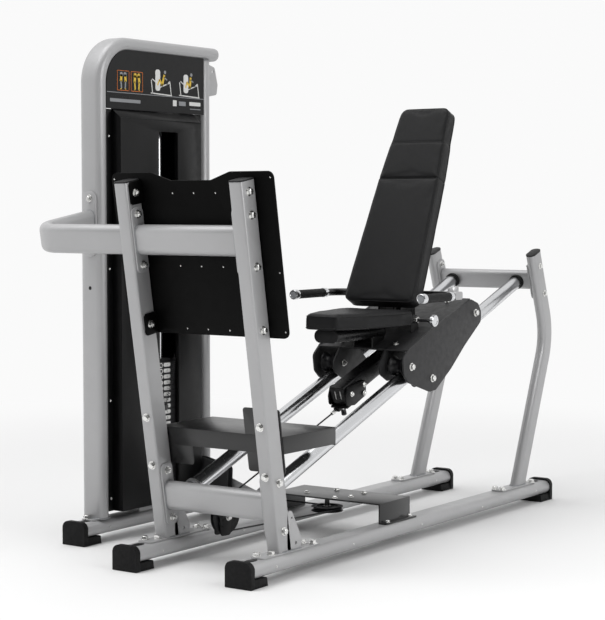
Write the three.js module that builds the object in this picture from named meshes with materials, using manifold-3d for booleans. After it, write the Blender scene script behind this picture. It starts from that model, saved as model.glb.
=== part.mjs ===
// Seated leg press with a selectorised weight tower.
// Millimetres, +Z up. X runs across the machine (the tower is on the -X side),
// +Y towards the rear legs, Z = 0 on the floor. The pieces are drawn with Y = 0 at
// the front faces of the two front feet and X = 0 midway between the two long base
// rails; the finished model then moves so that its origin is the centre of its
// footprint on the floor.
import * as THREE from 'three';
import { mergeVertices } from 'three/addons/utils/BufferGeometryUtils.js';
import Module from 'manifold-3d';

const wasm = await Module();
wasm.setup();

// ---------------------------------------------------------------- dimensions
const RAIL_X = 234;            // base rail centre lines at X = +-234
const RAIL_LEN = 2095;         // over the two rubber feet
const RAIL_W = 100, RAIL_H = 50, WALL = 3;
const RAIL_TOP = 78;
const TOWER_X = -668;          // centre plane of the weight tower
const TOWER_Y0 = 231, TOWER_Y1 = 1110;
const TOWER_H = 1812;
const POST_LEAN = 9.665;       // front posts, degrees
const INCLINE = 20.05;         // guide tubes, degrees
const BACK_TILT = -25.23;      // backrest from vertical, degrees
const GUIDE_X = 150, GUIDE_R = 26;
const GAP = 0.3;               // running gap between neighbouring solids
const STACK_Y = 655, PLATE_PITCH = 22, PLATES = 22, STACK_Z0 = 142;
const LIFTED = 8;              // head plate and the plates above the pin
const CABLE_Y = 907, CABLE_R = 3, SHEAVE_R = 52;
const PIVOT = [80, 48];        // backrest pivot in the backrest frame
const CENTRE = [-208, 1069.25]; // middle of the footprint, where the model's origin goes

// ---------------------------------------------------------------- materials
const mat = (color, rough, metal) => new THREE.MeshStandardMaterial({ color, roughness: rough, metalness: metal });
const SILVER = mat(0xa9a9a9, 0.45, 0.3), BLACK = mat(0x1f1f20, 0.5, 0.3), CHROME = mat(0xd8d8da, 0.12, 1.0);
const RUBBER = mat(0x161616, 0.85, 0.0), VINYL = mat(0x2b2b2c, 0.6, 0.0), CHARCOAL = mat(0x3a3a3b, 0.5, 0.3);
const NYLON = mat(0x101011, 0.5, 0.0), CABLE = mat(0x0c0c0c, 0.4, 0.0), IRON = mat(0x191919, 0.6, 0.2), PRINT = mat(0x242424, 0.35, 0.0);

// ---------------------------------------------------------------- helpers
const V2 = (x, y) => new THREE.Vector2(x, y);
const V3 = (x, y, z) => new THREE.Vector3(x, y, z);
const D2R = Math.PI / 180;

function solid(geometry) {
  const g = geometry.clone();
  g.deleteAttribute('normal');
  g.deleteAttribute('uv');
  const m = mergeVertices(g, 1e-4);
  let s = new wasm.Manifold(new wasm.Mesh({
    numProp: 3, vertProperties: new Float32Array(m.attributes.position.array), triVerts: new Uint32Array(m.index.array),
  }));
  return s;
}
function geometry(s) {
  const m = s.getMesh();
  const g = new THREE.BufferGeometry();
  g.setAttribute('position', new THREE.BufferAttribute(new Float32Array(m.vertProperties), 3));
  g.setIndex(new THREE.BufferAttribute(new Uint32Array(m.triVerts), 1));
  g.computeVertexNormals();
  return g;
}
const union = (...gs) => geometry(gs.map(solid).reduce((a, b) => a.add(b)));
const minus = (g, ...cuts) => geometry(cuts.map(solid).reduce((a, b) => a.subtract(b), solid(g)));

// outlines
function stadium(w, h, n = 6) {
  const p = [], r = Math.min(w, h) / 2, d = Math.max(w, h) / 2 - r;
  for (let i = 0; i <= n; i++) { const a = -Math.PI / 2 + Math.PI * i / n; p.push(V2(d + r * Math.cos(a), r * Math.sin(a))); }
  for (let i = 0; i <= n; i++) { const a = Math.PI / 2 + Math.PI * i / n; p.push(V2(-d + r * Math.cos(a), r * Math.sin(a))); }
  return w >= h ? p : p.map(q => V2(-q.y, q.x));
}
function rrect(w, h, r, n = 3) {
  const p = [];
  for (const [cx, cy, a0] of [[w / 2 - r, -h / 2 + r, -90], [w / 2 - r, h / 2 - r, 0], [-w / 2 + r, h / 2 - r, 90], [-w / 2 + r, -h / 2 + r, 180]])
    for (let i = 0; i <= n; i++) { const a = (a0 + 90 * i / n) * D2R; p.push(V2(cx + r * Math.cos(a), cy + r * Math.sin(a))); }
  return p;
}
function circle(r, n = 20, cx = 0, cy = 0) {
  const p = [];
  for (let i = 0; i < n; i++) { const a = 2 * Math.PI * i / n; p.push(V2(cx + r * Math.cos(a), cy + r * Math.sin(a))); }
  return p;
}
// polygon with rounded corners: list of [x, y, r]
function rounded(list, n = 3) {
  const out = [], k = list.length;
  for (let i = 0; i < k; i++) {
    const [x, y, r = 0] = list[i];
    if (!r) { out.push(V2(x, y)); continue; }
    const P = V2(x, y), A = V2(...list[(i + k - 1) % k]).sub(P).normalize(), B = V2(...list[(i + 1) % k]).sub(P).normalize();
    const half = Math.acos(Math.max(-1, Math.min(1, A.dot(B)))) / 2, t = r / Math.tan(half);
    const C = P.clone().add(A.clone().add(B).normalize().multiplyScalar(r / Math.sin(half)));
    const a = P.clone().addScaledVector(A, t).sub(C), b = P.clone().addScaledVector(B, t).sub(C);
    const a0 = Math.atan2(a.y, a.x); let da = Math.atan2(b.y, b.x) - a0;
    while (da > Math.PI) da -= 2 * Math.PI; while (da < -Math.PI) da += 2 * Math.PI;
    for (let j = 0; j <= n; j++) out.push(V2(C.x + r * Math.cos(a0 + da * j / n), C.y + r * Math.sin(a0 + da * j / n)));
  }
  return out;
}
function shape(points, holes = []) {
  const ccw = THREE.ShapeUtils.isClockWise(points) ? [...points].reverse() : points;
  const s = new THREE.Shape(ccw);
  for (const h of holes) s.holes.push(new THREE.Path(h));
  return s;
}
const prism = (points, depth, holes) => new THREE.ExtrudeGeometry(shape(points, holes), { depth, bevelEnabled: false, curveSegments: 1 });
const basis = (x, y, z, o) => { const m = new THREE.Matrix4().makeBasis(V3(...x), V3(...y), V3(...z)); m.setPosition(V3(...o)); return m; };
// outline in (Y, Z), thickness x0..x1
const plateX = (pts, x0, x1, holes) => prism(pts, x1 - x0, holes).applyMatrix4(basis([0, 1, 0], [0, 0, 1], [1, 0, 0], [x0, 0, 0]));
// outline in (X, Z), thickness y0..y1
const plateY = (pts, y0, y1, holes) => prism(pts, y1 - y0, holes).applyMatrix4(basis([1, 0, 0], [0, 0, 1], [0, -1, 0], [0, y1, 0]));
// outline in (X, Y), thickness z0..z1
const plateZ = (pts, z0, z1, holes) => prism(pts, z1 - z0, holes).translate(0, 0, z0);
const box = (x0, x1, y0, y1, z0, z1) => new THREE.BoxGeometry(x1 - x0, y1 - y0, z1 - z0).translate((x0 + x1) / 2, (y0 + y1) / 2, (z0 + z1) / 2);
const shift = (pts, dx, dy) => pts.map(q => V2(q.x + dx, q.y + dy));
const rodX = (r, x0, x1, y, z, n = 16) => plateX(circle(r, n, y, z), x0, x1);
const rodY = (r, y0, y1, x, z, n = 16) => plateY(circle(r, n, x, z), y0, y1);
const rodZ = (r, z0, z1, x, y, n = 16) => plateZ(circle(r, n, x, y), z0, z1);

// a route of straight runs joined by arcs, with one ring at each vertex
class Route extends THREE.Curve {
  constructor(corners, radius, steps = 6) {
    super();
    this.pts = []; this.tan = [];
    const n = corners.length;
    for (let i = 0; i < n; i++) {
      const P = corners[i];
      if (i === 0) { this.add(P, corners[1].clone().sub(P)); continue; }
      if (i === n - 1) { this.add(P, P.clone().sub(corners[n - 2])); continue; }
      const r = Array.isArray(radius) ? radius[i] : radius;
      const A = corners[i - 1].clone().sub(P).normalize(), B = corners[i + 1].clone().sub(P).normalize();
      const half = Math.acos(Math.max(-1, Math.min(1, A.dot(B)))) / 2, t = r / Math.tan(half);
      const C = P.clone().add(A.clone().add(B).normalize().multiplyScalar(r / Math.sin(half)));
      const a = P.clone().addScaledVector(A, t).sub(C).normalize();
      const axis = A.clone().negate().cross(B).normalize();
      const total = Math.PI - 2 * half;
      for (let j = 0; j <= steps; j++) {
        const d = a.clone().applyAxisAngle(axis, total * j / steps);
        this.add(C.clone().addScaledVector(d, r), axis.clone().cross(d));
      }
    }
  }
  add(p, t) { this.pts.push(p.clone()); this.tan.push(t.clone().normalize()); }
  at(list, t) {
    const f = t * (list.length - 1), i = Math.min(list.length - 2, Math.floor(f + 1e-9)), w = f - i;
    return list[i].clone().lerp(list[i + 1], Math.max(0, w));
  }
  getPoint(t) { return this.at(this.pts, t); }
  getPointAt(t) { return this.at(this.pts, t); }
  getTangent(t) { return this.at(this.tan, t).normalize(); }
  getTangentAt(t) { return this.at(this.tan, t).normalize(); }
}
// sweep an outline along a route; the outline's first axis starts along `adir`
function sweep(points, route, adir, holes = []) {
  const steps = route.pts.length - 1;
  const f = route.computeFrenetFrames(steps, false), a = V3(...adir);
  const c = a.dot(f.normals[0]), s = a.dot(f.binormals[0]);
  const turn = list => list.map(q => V2(q.x * c - q.y * s, q.x * s + q.y * c));
  return new THREE.ExtrudeGeometry(shape(turn(points), holes.map(turn)), { steps, extrudePath: route, bevelEnabled: false });
}
// turned ring about X, from closed profile [[r, x], ...]
function turnedX(profile, seg, x, y, z) {
  const p = profile.map(([r, a]) => V2(r, a));
  p.push(p[0].clone());
  return new THREE.LatheGeometry(p, seg).rotateZ(-Math.PI / 2).translate(x, y, z);
}

// frames of reference
const LEAN = new THREE.Matrix4().makeRotationX(POST_LEAN * D2R).setPosition(0, 265, 83);
const SLOPE = new THREE.Matrix4().makeRotationX(INCLINE * D2R).setPosition(0, 203, 231);
const BACK = new THREE.Matrix4().makeRotationX(BACK_TILT * D2R).setPosition(0, 1207, 880);
const leaned = g => g.applyMatrix4(LEAN);
const sloped = g => g.applyMatrix4(SLOPE);
const backed = g => g.applyMatrix4(BACK);

const model = new THREE.Group();
const frame = new THREE.Group(), press = new THREE.Group(), stack = new THREE.Group();
model.add(frame, press, stack);
function put(group, name, geo, material) {
  const s = solid(geo);
  if (s.volume() <= 0) throw new Error(name + ' is inside out');
  const m = new THREE.Mesh(geo, material);
  m.name = name;
  group.add(m);
  return m;
}

// ---------------------------------------------------------------- base rails and feet
const ovalRail = (cx, y0, y1) => plateY(shift(stadium(RAIL_W, RAIL_H), cx, RAIL_TOP - RAIL_H / 2), y0, y1,
  [shift(stadium(RAIL_W - 2 * WALL, RAIL_H - 2 * WALL), cx, RAIL_TOP - RAIL_H / 2)]);
function foot(cx, y, dir) {
  const yy = (a, b) => dir > 0 ? [y + a, y + b] : [y - b, y - a];
  const cap = plateY(rounded([[cx - 52, 0, 4], [cx + 52, 0, 4], [cx + 52, 86, 26], [cx - 52, 86, 26]]), ...yy(0, 22));
  const pad = plateY(rounded([[cx - 52, 0, 4], [cx + 52, 0, 4], [cx + 52, 36, 3], [cx - 52, 36, 3]]), ...yy(0, 95));
  return minus(union(cap, pad), plateY(shift(stadium(RAIL_W + 0.8, RAIL_H + 0.8), cx, RAIL_TOP - RAIL_H / 2), ...yy(10, 110)));
}
put(frame, 'left_base_rail', ovalRail(-RAIL_X, 12, RAIL_LEN - 12), SILVER);
put(frame, 'right_base_rail', ovalRail(RAIL_X, 12, RAIL_LEN - 12), SILVER);
// the tower rail carries the welded base block under the weight stack
const stackBase = union(box(TOWER_X - 30, TOWER_X + 30, STACK_Y - 95, STACK_Y + 95, RAIL_TOP - 2, 96),
  rodZ(24, 95, STACK_Z0 - 0.4, TOWER_X, STACK_Y - 60), rodZ(24, 95, STACK_Z0 - 0.4, TOWER_X, STACK_Y + 60));
put(frame, 'tower_base_rail', minus(union(ovalRail(TOWER_X, TOWER_Y0 + 12, TOWER_Y1 - 12), stackBase),
  rodZ(12.9, 110, 150, TOWER_X, STACK_Y - 60), rodZ(12.9, 110, 150, TOWER_X, STACK_Y + 60), rodZ(15, 100, 150, TOWER_X, STACK_Y)), SILVER);
put(frame, 'foot_left_front', foot(-RAIL_X, 0, 1), RUBBER);
put(frame, 'foot_left_rear', foot(-RAIL_X, RAIL_LEN, -1), RUBBER);
put(frame, 'foot_right_front', foot(RAIL_X, 0, 1), RUBBER);
put(frame, 'foot_right_rear', foot(RAIL_X, RAIL_LEN, -1), RUBBER);
put(frame, 'foot_tower_front', foot(TOWER_X, TOWER_Y0, 1), RUBBER);
put(frame, 'foot_tower_rear', foot(TOWER_X, TOWER_Y1, -1), RUBBER);

// ---------------------------------------------------------------- weight tower frame
const basePlate = (cx, w, y0, y1) => plateZ(rounded([[cx - w / 2, y0, 8], [cx + w / 2, y0, 8], [cx + w / 2, y1, 8], [cx - w / 2, y1, 8]]), RAIL_TOP, RAIL_TOP + 5);
{
  const path = new Route([V3(TOWER_X, 355, RAIL_TOP + 4), V3(TOWER_X, 355, TOWER_H - 25), V3(TOWER_X, 1030, TOWER_H - 25)], 145);
  const tube = sweep(stadium(100, 50), path, [1, 0, 0]);
  const bore = sweep(stadium(94, 44), new Route([V3(TOWER_X, 355, RAIL_TOP - 2), V3(TOWER_X, 355, TOWER_H - 25), V3(TOWER_X, 1040, TOWER_H - 25)], 145), [1, 0, 0]);
  put(frame, 'tower_front_frame', minus(union(tube, basePlate(TOWER_X, 60, 305, 405)), bore), SILVER);
}
{
  const y = 955;
  const post = plateZ(shift(stadium(100, 50), TOWER_X, y), RAIL_TOP + 4, TOWER_H - 50 - GAP);
  const bore = plateZ(shift(stadium(94, 44), TOWER_X, y), RAIL_TOP - 2, TOWER_H - 52);
  const ear = plateX(rounded([[975, 1760], [1023, 1757, 6], [1074, 1744, 8], [1093, 1678, 10], [1086, 1639, 8], [1022, 1628, 6], [975, 1628]]), TOWER_X - 15, TOWER_X - 9,
    [circle(6, 10, 1062, 1728), circle(5, 10, 1034, 1700)]);
  put(frame, 'tower_rear_post', minus(union(post, basePlate(TOWER_X, 60, 927, 1010), minus(ear, plateZ(shift(stadium(95, 45), TOWER_X, y), 1500, 1800))), bore), SILVER);
}

// ---------------------------------------------------------------- leaning front posts (leaned frame: x, y' rearward, z' along the post)
const POST_TOP = 1227.7;
function frontPost(side) {
  const cx = side * RAIL_X;
  const tube = leaned(plateZ(shift(rrect(50, 73, 7), cx, -36.5), -60, POST_TOP, [shift(rrect(44, 67, 4), cx, -36.5)]));
  const cut = box(cx - 60, cx + 60, 0, 500, -60, RAIL_TOP + 4);
  const tab = x0 => plateX(rounded([[236, 84], [318, 84, 2], [318, 116, 6], [262, 214, 5], [236, 214]]), x0, x0 + 6);
  const bore = leaned(plateZ(shift(rrect(44, 67, 4), cx, -36.5), -20, POST_TOP + 9));
  const bolts = [];
  return minus(union(minus(tube, cut), basePlate(cx, 56, 100, 425), tab(cx - 25), tab(cx + 19)), bore, ...bolts);
}
put(frame, 'front_post_left', frontPost(-1), SILVER);
put(frame, 'front_post_right', frontPost(1), SILVER);

const barSection = stadium(50, 100);          // (y', z')
const endPlate = (x0, y, z0, z1, w = 58) => plateX(rounded([[y - w / 2, z0, 20], [y + w / 2, z0, 20], [y + w / 2, z1, 20], [y - w / 2, z1, 20]]), x0, x0 + 6);
{
  const zc = 1032.9, yc = -36.5, h = 209 - GAP - 6;
  const g = union(plateX(shift(barSection, yc, zc), -h - 1, h + 1), endPlate(-209 + GAP, yc, 924, 1142), endPlate(203 - GAP, yc, 924, 1142));
  put(frame, 'upper_crossbar', leaned(minus(g, plateX(shift(stadium(44, 94), yc, zc), -220, 220))), SILVER);
}
{
  const zc = 1032.9, yc = -36.5;
  const path = new Route([V3(-259 - GAP, yc, zc), V3(TOWER_X + 4, yc, zc), V3(TOWER_X + 4, 300, zc)], 88, 7);
  const arm = leaned(sweep(stadium(50, 100), path, [0, 1, 0]));
  const bore = leaned(sweep(stadium(44, 94), new Route([V3(-250, yc, zc), V3(TOWER_X + 4, yc, zc), V3(TOWER_X + 4, 310, zc)], 88, 7), [0, 1, 0]));
  const plate = plateY(rounded([[TOWER_X - 27, 1025, 28], [TOWER_X + 35, 1025, 28], [TOWER_X + 35, 1259, 28], [TOWER_X - 27, 1259, 28]]), 324, 330 - GAP);
  put(frame, 'link_arm', union(minus(minus(arm, box(-900, -400, 324.5, 800, 800, 1500)), bore), plate), SILVER);
}
// lower pulley: turns the cable from the base up the incline
const LP = { x: -66, y: 330, z: 152, yaw: -9.2 };
const atLP = g => g.rotateZ(LP.yaw * D2R).translate(LP.x, LP.y, LP.z);
{
  const zc = 156.3, yc = -36.5, h = 209 - GAP - 6;
  const bar = union(plateX(shift(barSection, yc, zc), -h - 1, h + 1), endPlate(-209 + GAP, yc, 52, 268), endPlate(203 - GAP, yc, 52, 268));
  const body = leaned(minus(bar, plateX(shift(stadium(44, 94), yc, zc), -220, 220)));
  const cheek = rounded([[-125, 40], [-125, 84], [-70, 84, 6], [14, 40, 12], [16, 0, 6], [10, -62, 8], [-34, -62, 10], [-40, 6, 12], [-84, 34, 8]]);
  const cheeks = union(atLP(plateX(cheek, 13, 17)), atLP(plateX(cheek, -17, -13)), atLP(box(-17, 17, -110, -88, 44, 80)));
  const trim = leaned(plateX(shift(stadium(46, 96), yc, zc), -150, 50));
  put(frame, 'lower_crossbar', union(body, atLP(rodX(8, -16, 16, 0, 0, 12)), minus(cheeks, trim, leaned(box(-300, 300, -200, -36.5, -60, 400)))), SILVER);
}

// ---------------------------------------------------------------- rear legs and crossbar
function rearLeg(side) {
  const cx = side * RAIL_X, dir = V2(-Math.sin(INCLINE * D2R), Math.cos(INCLINE * D2R));
  const knee = V3(cx, 2133, 677), top = V3(cx, 2050 + dir.x * 122, 905 + dir.y * 122);
  const foot0 = V3(cx, 1884 - 20, 80 - 49), R = 250;
  const outer = sweep(stadium(80, 40), new Route([foot0, knee, top], R, 6), [0, 1, 0]);
  const low = box(cx - 60, cx + 60, 1700, 2100, -60, RAIL_TOP + 4);
  const plate = basePlate(cx, 56, 1712, 1985);
  const d0 = knee.clone().sub(foot0).normalize();
  const bore = sweep(stadium(74, 34), new Route([foot0.clone().addScaledVector(d0, -5), knee, top.clone().add(V3(0, dir.x * 5, dir.y * 5))], R, 6), [0, 1, 0]);
  return minus(union(minus(outer, low), plate), bore);
}
put(frame, 'rear_leg_left', rearLeg(-1), SILVER);
put(frame, 'rear_leg_right', rearLeg(1), SILVER);
const REAR_S = 1966;
{
  const plate = x0 => plateX(rounded([[REAR_S - 29, -78, 20], [REAR_S + 29, -78, 20], [REAR_S + 29, 78, 20], [REAR_S - 29, 78, 20]]), x0, x0 + 6);
  const bar = plateX(shift(stadium(40, 80), REAR_S, 0), -209, 209);
  const g = union(bar, plate(-214 + GAP), plate(208 - GAP));
  put(frame, 'rear_crossbar', sloped(minus(g, plateX(shift(stadium(34, 74), REAR_S, 0), -220, 220))), SILVER);
}
// chrome guide tubes, butted on the two crossbars
function guide(side) {
  const cx = side * GUIDE_X;
  const tube = sloped(plateY(circle(GUIDE_R, 20, cx, 0), 5, REAR_S - 10));
  const front = leaned(plateX(shift(stadium(50.6, 100.6), -36.5, 156.3), cx - 60, cx + 60));
  const ahead = leaned(box(cx - 60, cx + 60, -200, -36.5, -60, 400));
  const rear = sloped(plateX(shift(stadium(40.6, 80.6), REAR_S, 0), cx - 60, cx + 60));
  const beyond = sloped(box(cx - 60, cx + 60, REAR_S, REAR_S + 60, -60, 60));
  const bore = sloped(plateY(circle(GUIDE_R - 4, 16, cx, 0), -20, REAR_S + 20));
  return minus(tube, front, ahead, rear, beyond, bore);
}
put(frame, 'guide_tube_left', guide(-1), CHROME);
put(frame, 'guide_tube_right', guide(1), CHROME);

// ---------------------------------------------------------------- footplate, step, bridge
{
  const o = rounded([[-330, 711, 18], [330, 711, 18], [330, 1248, 20], [160, 1248, 20], [80, 1221, 20], [-80, 1221, 20], [-160, 1248, 20], [-330, 1248, 20]]);
  const sheet = plateY(o, 2, 8);
  const ear = (x, z0, z1) => plateX(rounded([[-60, z0, 22], [5, z0], [5, z1], [-60, z1, 22]]), x, x + 5);
  put(frame, 'footplate', leaned(union(sheet, ear(203.5, 1150, 1226), ear(203.5, 712, 785), ear(-208.5, 1150, 1226), ear(-208.5, 712, 785))), BLACK);
}
{
  const tray = minus(box(-262, 262, 195, 515, 400, 462), box(-258, 258, 199, 511, 390, 458));
  const flange = (x, top) => plateY(rounded([[x, 258, 4], [x + 147, 258, 4], [x + 147, top, 4], [x, top, 4]]), GAP, 5 + GAP);
  const g = union(tray, leaned(flange(115, 474)), leaned(flange(-262, 381)));
  put(frame, 'step_plate', minus(g, leaned(box(-400, 400, -200, GAP, 200, 600))), BLACK);
}
{
  const top = plateZ(rounded([[-234, 841, 3], [234, 841, 3], [234, 1047, 3], [-234, 1047, 3]]), 145, 151);
  const web = x => box(x, x + 6, 841, 1047, RAIL_TOP, 146);
  const flange = (a, b) => plateZ(rounded([[a, 841, 3], [b, 841, 3], [b, 1047, 3], [a, 1047, 3]]), RAIL_TOP, RAIL_TOP + 6);
  const g = union(top, web(-234), web(228), flange(-262, -228), flange(228, 262), rodZ(9, 99, 146, 0, 855, 14));
  put(frame, 'bridge_plate', minus(g, box(-240, -220, 893, 921, 98, 128)), BLACK);
}

// ---------------------------------------------------------------- cable transfer between tower and press
const BP = { y: CABLE_Y, z: 162, x: TOWER_X + SHEAVE_R };       // base pulley, axis along Y
{
  const beam = minus(box(TOWER_X + 50 + GAP, -RAIL_X - 50 - GAP, 940, 988, 30, 76), box(-700, -200, 943, 985, 33, 73));
  const gusset = plateY(rounded([[-617, 70], [-617, 202, 4], [-484, 163, 3], [-296, 101, 6], [-296, 70]]), 938, 942);
  const cheek = y => plateY(rounded([[-694, 84], [-484, 84, 4], [-478, 216, 10], [-600, 244, 14], [-694, 244, 8]]), y, y + 4);
  const sole = box(-692, -646, 891, 923, RAIL_TOP, 86);
  const tie = box(-500, -480, 891, 942, 84, 92);
  const axle = rodY(8, 891, 923, BP.x, BP.z, 12);
  put(frame, 'link_beam', union(beam, gusset, cheek(891), cheek(919), sole, tie, axle), CHARCOAL);
}
const sheave = (flange, half) => [[8.4, -half], [flange, -half], [flange, -half + 2], [SHEAVE_R - 3.6, -2.6], [SHEAVE_R - 3.6, 2.6], [flange, half - 2], [flange, half], [8.4, half]];
const sheaveX = (x, y, z) => turnedX(sheave(58, 9), 18, x, y, z);
const bridgePulley = turnedX(sheave(58, 9), 18, 0, 0, 0).rotateY(Math.PI / 2).translate(0, 855, 112);
put(frame, 'bridge_pulley', minus(bridgePulley, rodZ(9.4, 90, 130, 0, 855, 14)), NYLON);
put(frame, 'lower_pulley', atLP(turnedX(sheave(60, 9), 18, 0, 0, 0)), NYLON);
put(frame, 'base_pulley', turnedX(sheave(58, 9), 18, 0, 0, 0).rotateZ(Math.PI / 2).translate(BP.x, BP.y, BP.z), NYLON);
const TP1 = { y: STACK_Y + SHEAVE_R, z: 1690 }, TP2 = { y: CABLE_Y - SHEAVE_R, z: 1690 };
put(frame, 'top_pulley_front', sheaveX(TOWER_X, TP1.y, TP1.z), NYLON);
put(frame, 'top_pulley_rear', sheaveX(TOWER_X, TP2.y, TP2.z), NYLON);
{
  // top pulley carrier, with the plate that holds the weight guide rods
  const cheek = x => plateX(rounded([[TP1.y - 40, 1762 - GAP], [TP1.y - 30, 1660, 14], [TP2.y + 30, 1660, 14], [TP2.y + 40, 1762 - GAP]]), x, x + 4);
  const rodPlate = plateZ(rounded([[TOWER_X - 30, 381], [TOWER_X + 30, 381], [TOWER_X + 30, 929], [TOWER_X - 30, 929]]), 1618, 1624,
    [circle(8, 10, TOWER_X, STACK_Y), circle(8, 10, TOWER_X, CABLE_Y)]);
  const stay = box(TOWER_X + 13, TOWER_X + 17, TP1.y + 10, TP2.y - 10, 1620, 1670);
  put(frame, 'top_pulley_carrier', union(cheek(TOWER_X - 17), cheek(TOWER_X + 13), box(TOWER_X - 17, TOWER_X + 17, TP1.y - 40, TP2.y + 40, 1755, 1762 - GAP),
    rodX(8, TOWER_X - 14, TOWER_X + 14, TP1.y, TP1.z, 12), rodX(8, TOWER_X - 14, TOWER_X + 14, TP2.y, TP2.z, 12), rodPlate, stay), CHARCOAL);
}

// ---------------------------------------------------------------- shrouds and sign panel
{
  const outline = [[-633, 104], [-590, 104], [-590, 1520], [-633, 1555]];
  const inner = [[-640, 110], [-593, 110], [-593, 1518.6], [-640, 1556.8]];
  const shell = plateY(outline.map(q => V2(...q)), 411, 876), hollow = plateY(inner.map(q => V2(...q)), 414, 873);
  const slot = plateX(rounded([[626, 130, 6], [737, 130, 6], [737, 1478, 6], [626, 1478, 6]]), -600, -580);
  const flange = box(-636, -633 + 0.5, 381, 929, 104, 1552);
  put(frame, 'front_shroud', minus(union(shell, flange), hollow, slot, box(-645, -625, 876, 935, 90, 262)), BLACK);
  const mirror = g => g.map(([x, z]) => V2(2 * TOWER_X - x, z)).reverse();
  const shell2 = plateY(mirror(outline), 411, 876), hollow2 = plateY(mirror(inner), 414, 873);
  const flange2 = box(2 * TOWER_X + 633 - 0.5, 2 * TOWER_X + 636, 381, 929, 104, 1552);
  put(frame, 'rear_shroud', minus(union(shell2, flange2), hollow2, box(-712, -690, 876, 935, 90, 262)), BLACK);
  const panel = rounded([[381, 1556.5], [929, 1556.5], [929, 1761], [381, 1761, 118]], 8);
  put(frame, 'sign_panel', plateX(panel, -627, -623), PRINT);
}

// ---------------------------------------------------------------- weight stack
const ROD_Y = [STACK_Y - 60, STACK_Y + 60];
put(stack, 'stack_rod_front', rodZ(12.5, 110.3, 1617.7, TOWER_X, ROD_Y[0], 16), CHROME);
put(stack, 'stack_rod_rear', rodZ(12.5, 110.3, 1617.7, TOWER_X, ROD_Y[1], 16), CHROME);
function plates(z0, count) {
  // outline in (X, Z) with a groove between neighbouring plates
  const L = TOWER_X - 58, Rr = TOWER_X + 58, left = [], right = [];
  for (let i = 0; i < count; i++) {
    const a = z0 + i * PLATE_PITCH;
    const lo = i ? a + 1 : a + GAP, hi = i < count - 1 ? a + PLATE_PITCH - 1 : a + PLATE_PITCH - GAP;
    right.push(V2(Rr, lo), V2(Rr, hi));
    left.push(V2(L, lo), V2(L, hi));
    if (i < count - 1) { right.push(V2(Rr - 3, hi + 1)); left.push(V2(L + 3, hi + 1)); }
  }
  return plateY([...right, ...left.reverse()], STACK_Y - 190, STACK_Y + 190);
}
const z1 = STACK_Z0 + (PLATES - LIFTED) * PLATE_PITCH, zTop = STACK_Z0 + PLATES * PLATE_PITCH;
const pinZ = z1 + PLATE_PITCH / 2;
const bores = (z0, zz, rc) => [rodZ(13.6, z0, zz, TOWER_X, ROD_Y[0], 16), rodZ(13.6, z0, zz, TOWER_X, ROD_Y[1], 16), ...(rc ? [rodZ(rc, z0, zz, TOWER_X, STACK_Y, 16)] : [])];
put(stack, 'resting_plates', minus(plates(STACK_Z0, PLATES - LIFTED), ...bores(STACK_Z0 - 5, z1 + 5, 14)), IRON);
{
  const rod = rodZ(12, STACK_Z0 + 8, zTop + 40, TOWER_X, STACK_Y, 16);
  const eye = rodZ(8, zTop + 38, zTop + 64, TOWER_X, STACK_Y, 12);
  put(stack, 'lifted_plates', minus(union(minus(plates(z1, LIFTED), ...bores(z1 - 5, zTop + 5)), rod, eye), rodX(5.4, TOWER_X - 20, TOWER_X + 80, STACK_Y, pinZ, 12)), IRON);
}
put(stack, 'selector_pin', union(rodX(4.8, TOWER_X - 14, TOWER_X + 66, STACK_Y, pinZ, 12), rodX(14, TOWER_X + 61, TOWER_X + 84, STACK_Y, pinZ, 16)), BLACK);
put(stack, 'stack_cable', rodZ(CABLE_R, zTop + 64 + GAP, TP1.z - GAP, TOWER_X, STACK_Y, 8), CABLE);

// ---------------------------------------------------------------- cable, from the top pulleys to the lower pulley
const arcPts = (c, u, v, r, a0, a1, n) => {
  const out = [];
  for (let i = 0; i <= n; i++) {
    const a = (a0 + (a1 - a0) * i / n) * D2R, sgn = Math.sign(a1 - a0);
    const p = c.clone().addScaledVector(u, r * Math.cos(a)).addScaledVector(v, r * Math.sin(a));
    const t = u.clone().multiplyScalar(-Math.sin(a) * sgn).addScaledVector(v, Math.cos(a) * sgn);
    out.push([p, t]);
  }
  return out;
};
const X = V3(1, 0, 0), Y = V3(0, 1, 0), Z = V3(0, 0, 1);
const slopeDir = V3(0, Math.cos(23.6 * D2R), Math.sin(23.6 * D2R));
let cableExit;
{
  const r = new Route([V3(0, 0, 0), V3(0, 1, 0)], 0);
  r.pts = []; r.tan = [];
  const run = list => list.forEach(([p, t]) => r.add(p, t));
  run(arcPts(V3(TOWER_X, TP1.y, TP1.z), Y, Z, SHEAVE_R, 180, 90, 6));
  run(arcPts(V3(TOWER_X, TP2.y, TP2.z), Y, Z, SHEAVE_R, 90, 0, 6));
  run(arcPts(V3(BP.x, BP.y, BP.z), X, Z, SHEAVE_R, 180, 270, 6));
  run(arcPts(V3(0, 855, 112), X, Y, SHEAVE_R, 90, -12.5, 6));
  const lx = X.clone().applyAxisAngle(Z, LP.yaw * D2R), ly = Y.clone().applyAxisAngle(Z, LP.yaw * D2R);
  const arc = arcPts(V3(LP.x, LP.y, LP.z), ly, Z, SHEAVE_R, 268, 113.6, 9);
  run(arc);
  cableExit = arc[arc.length - 1][0];
  put(frame, 'tower_cable', sweep(circle(CABLE_R, 6), r, [1, 0, 0]), CABLE);
}

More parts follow.
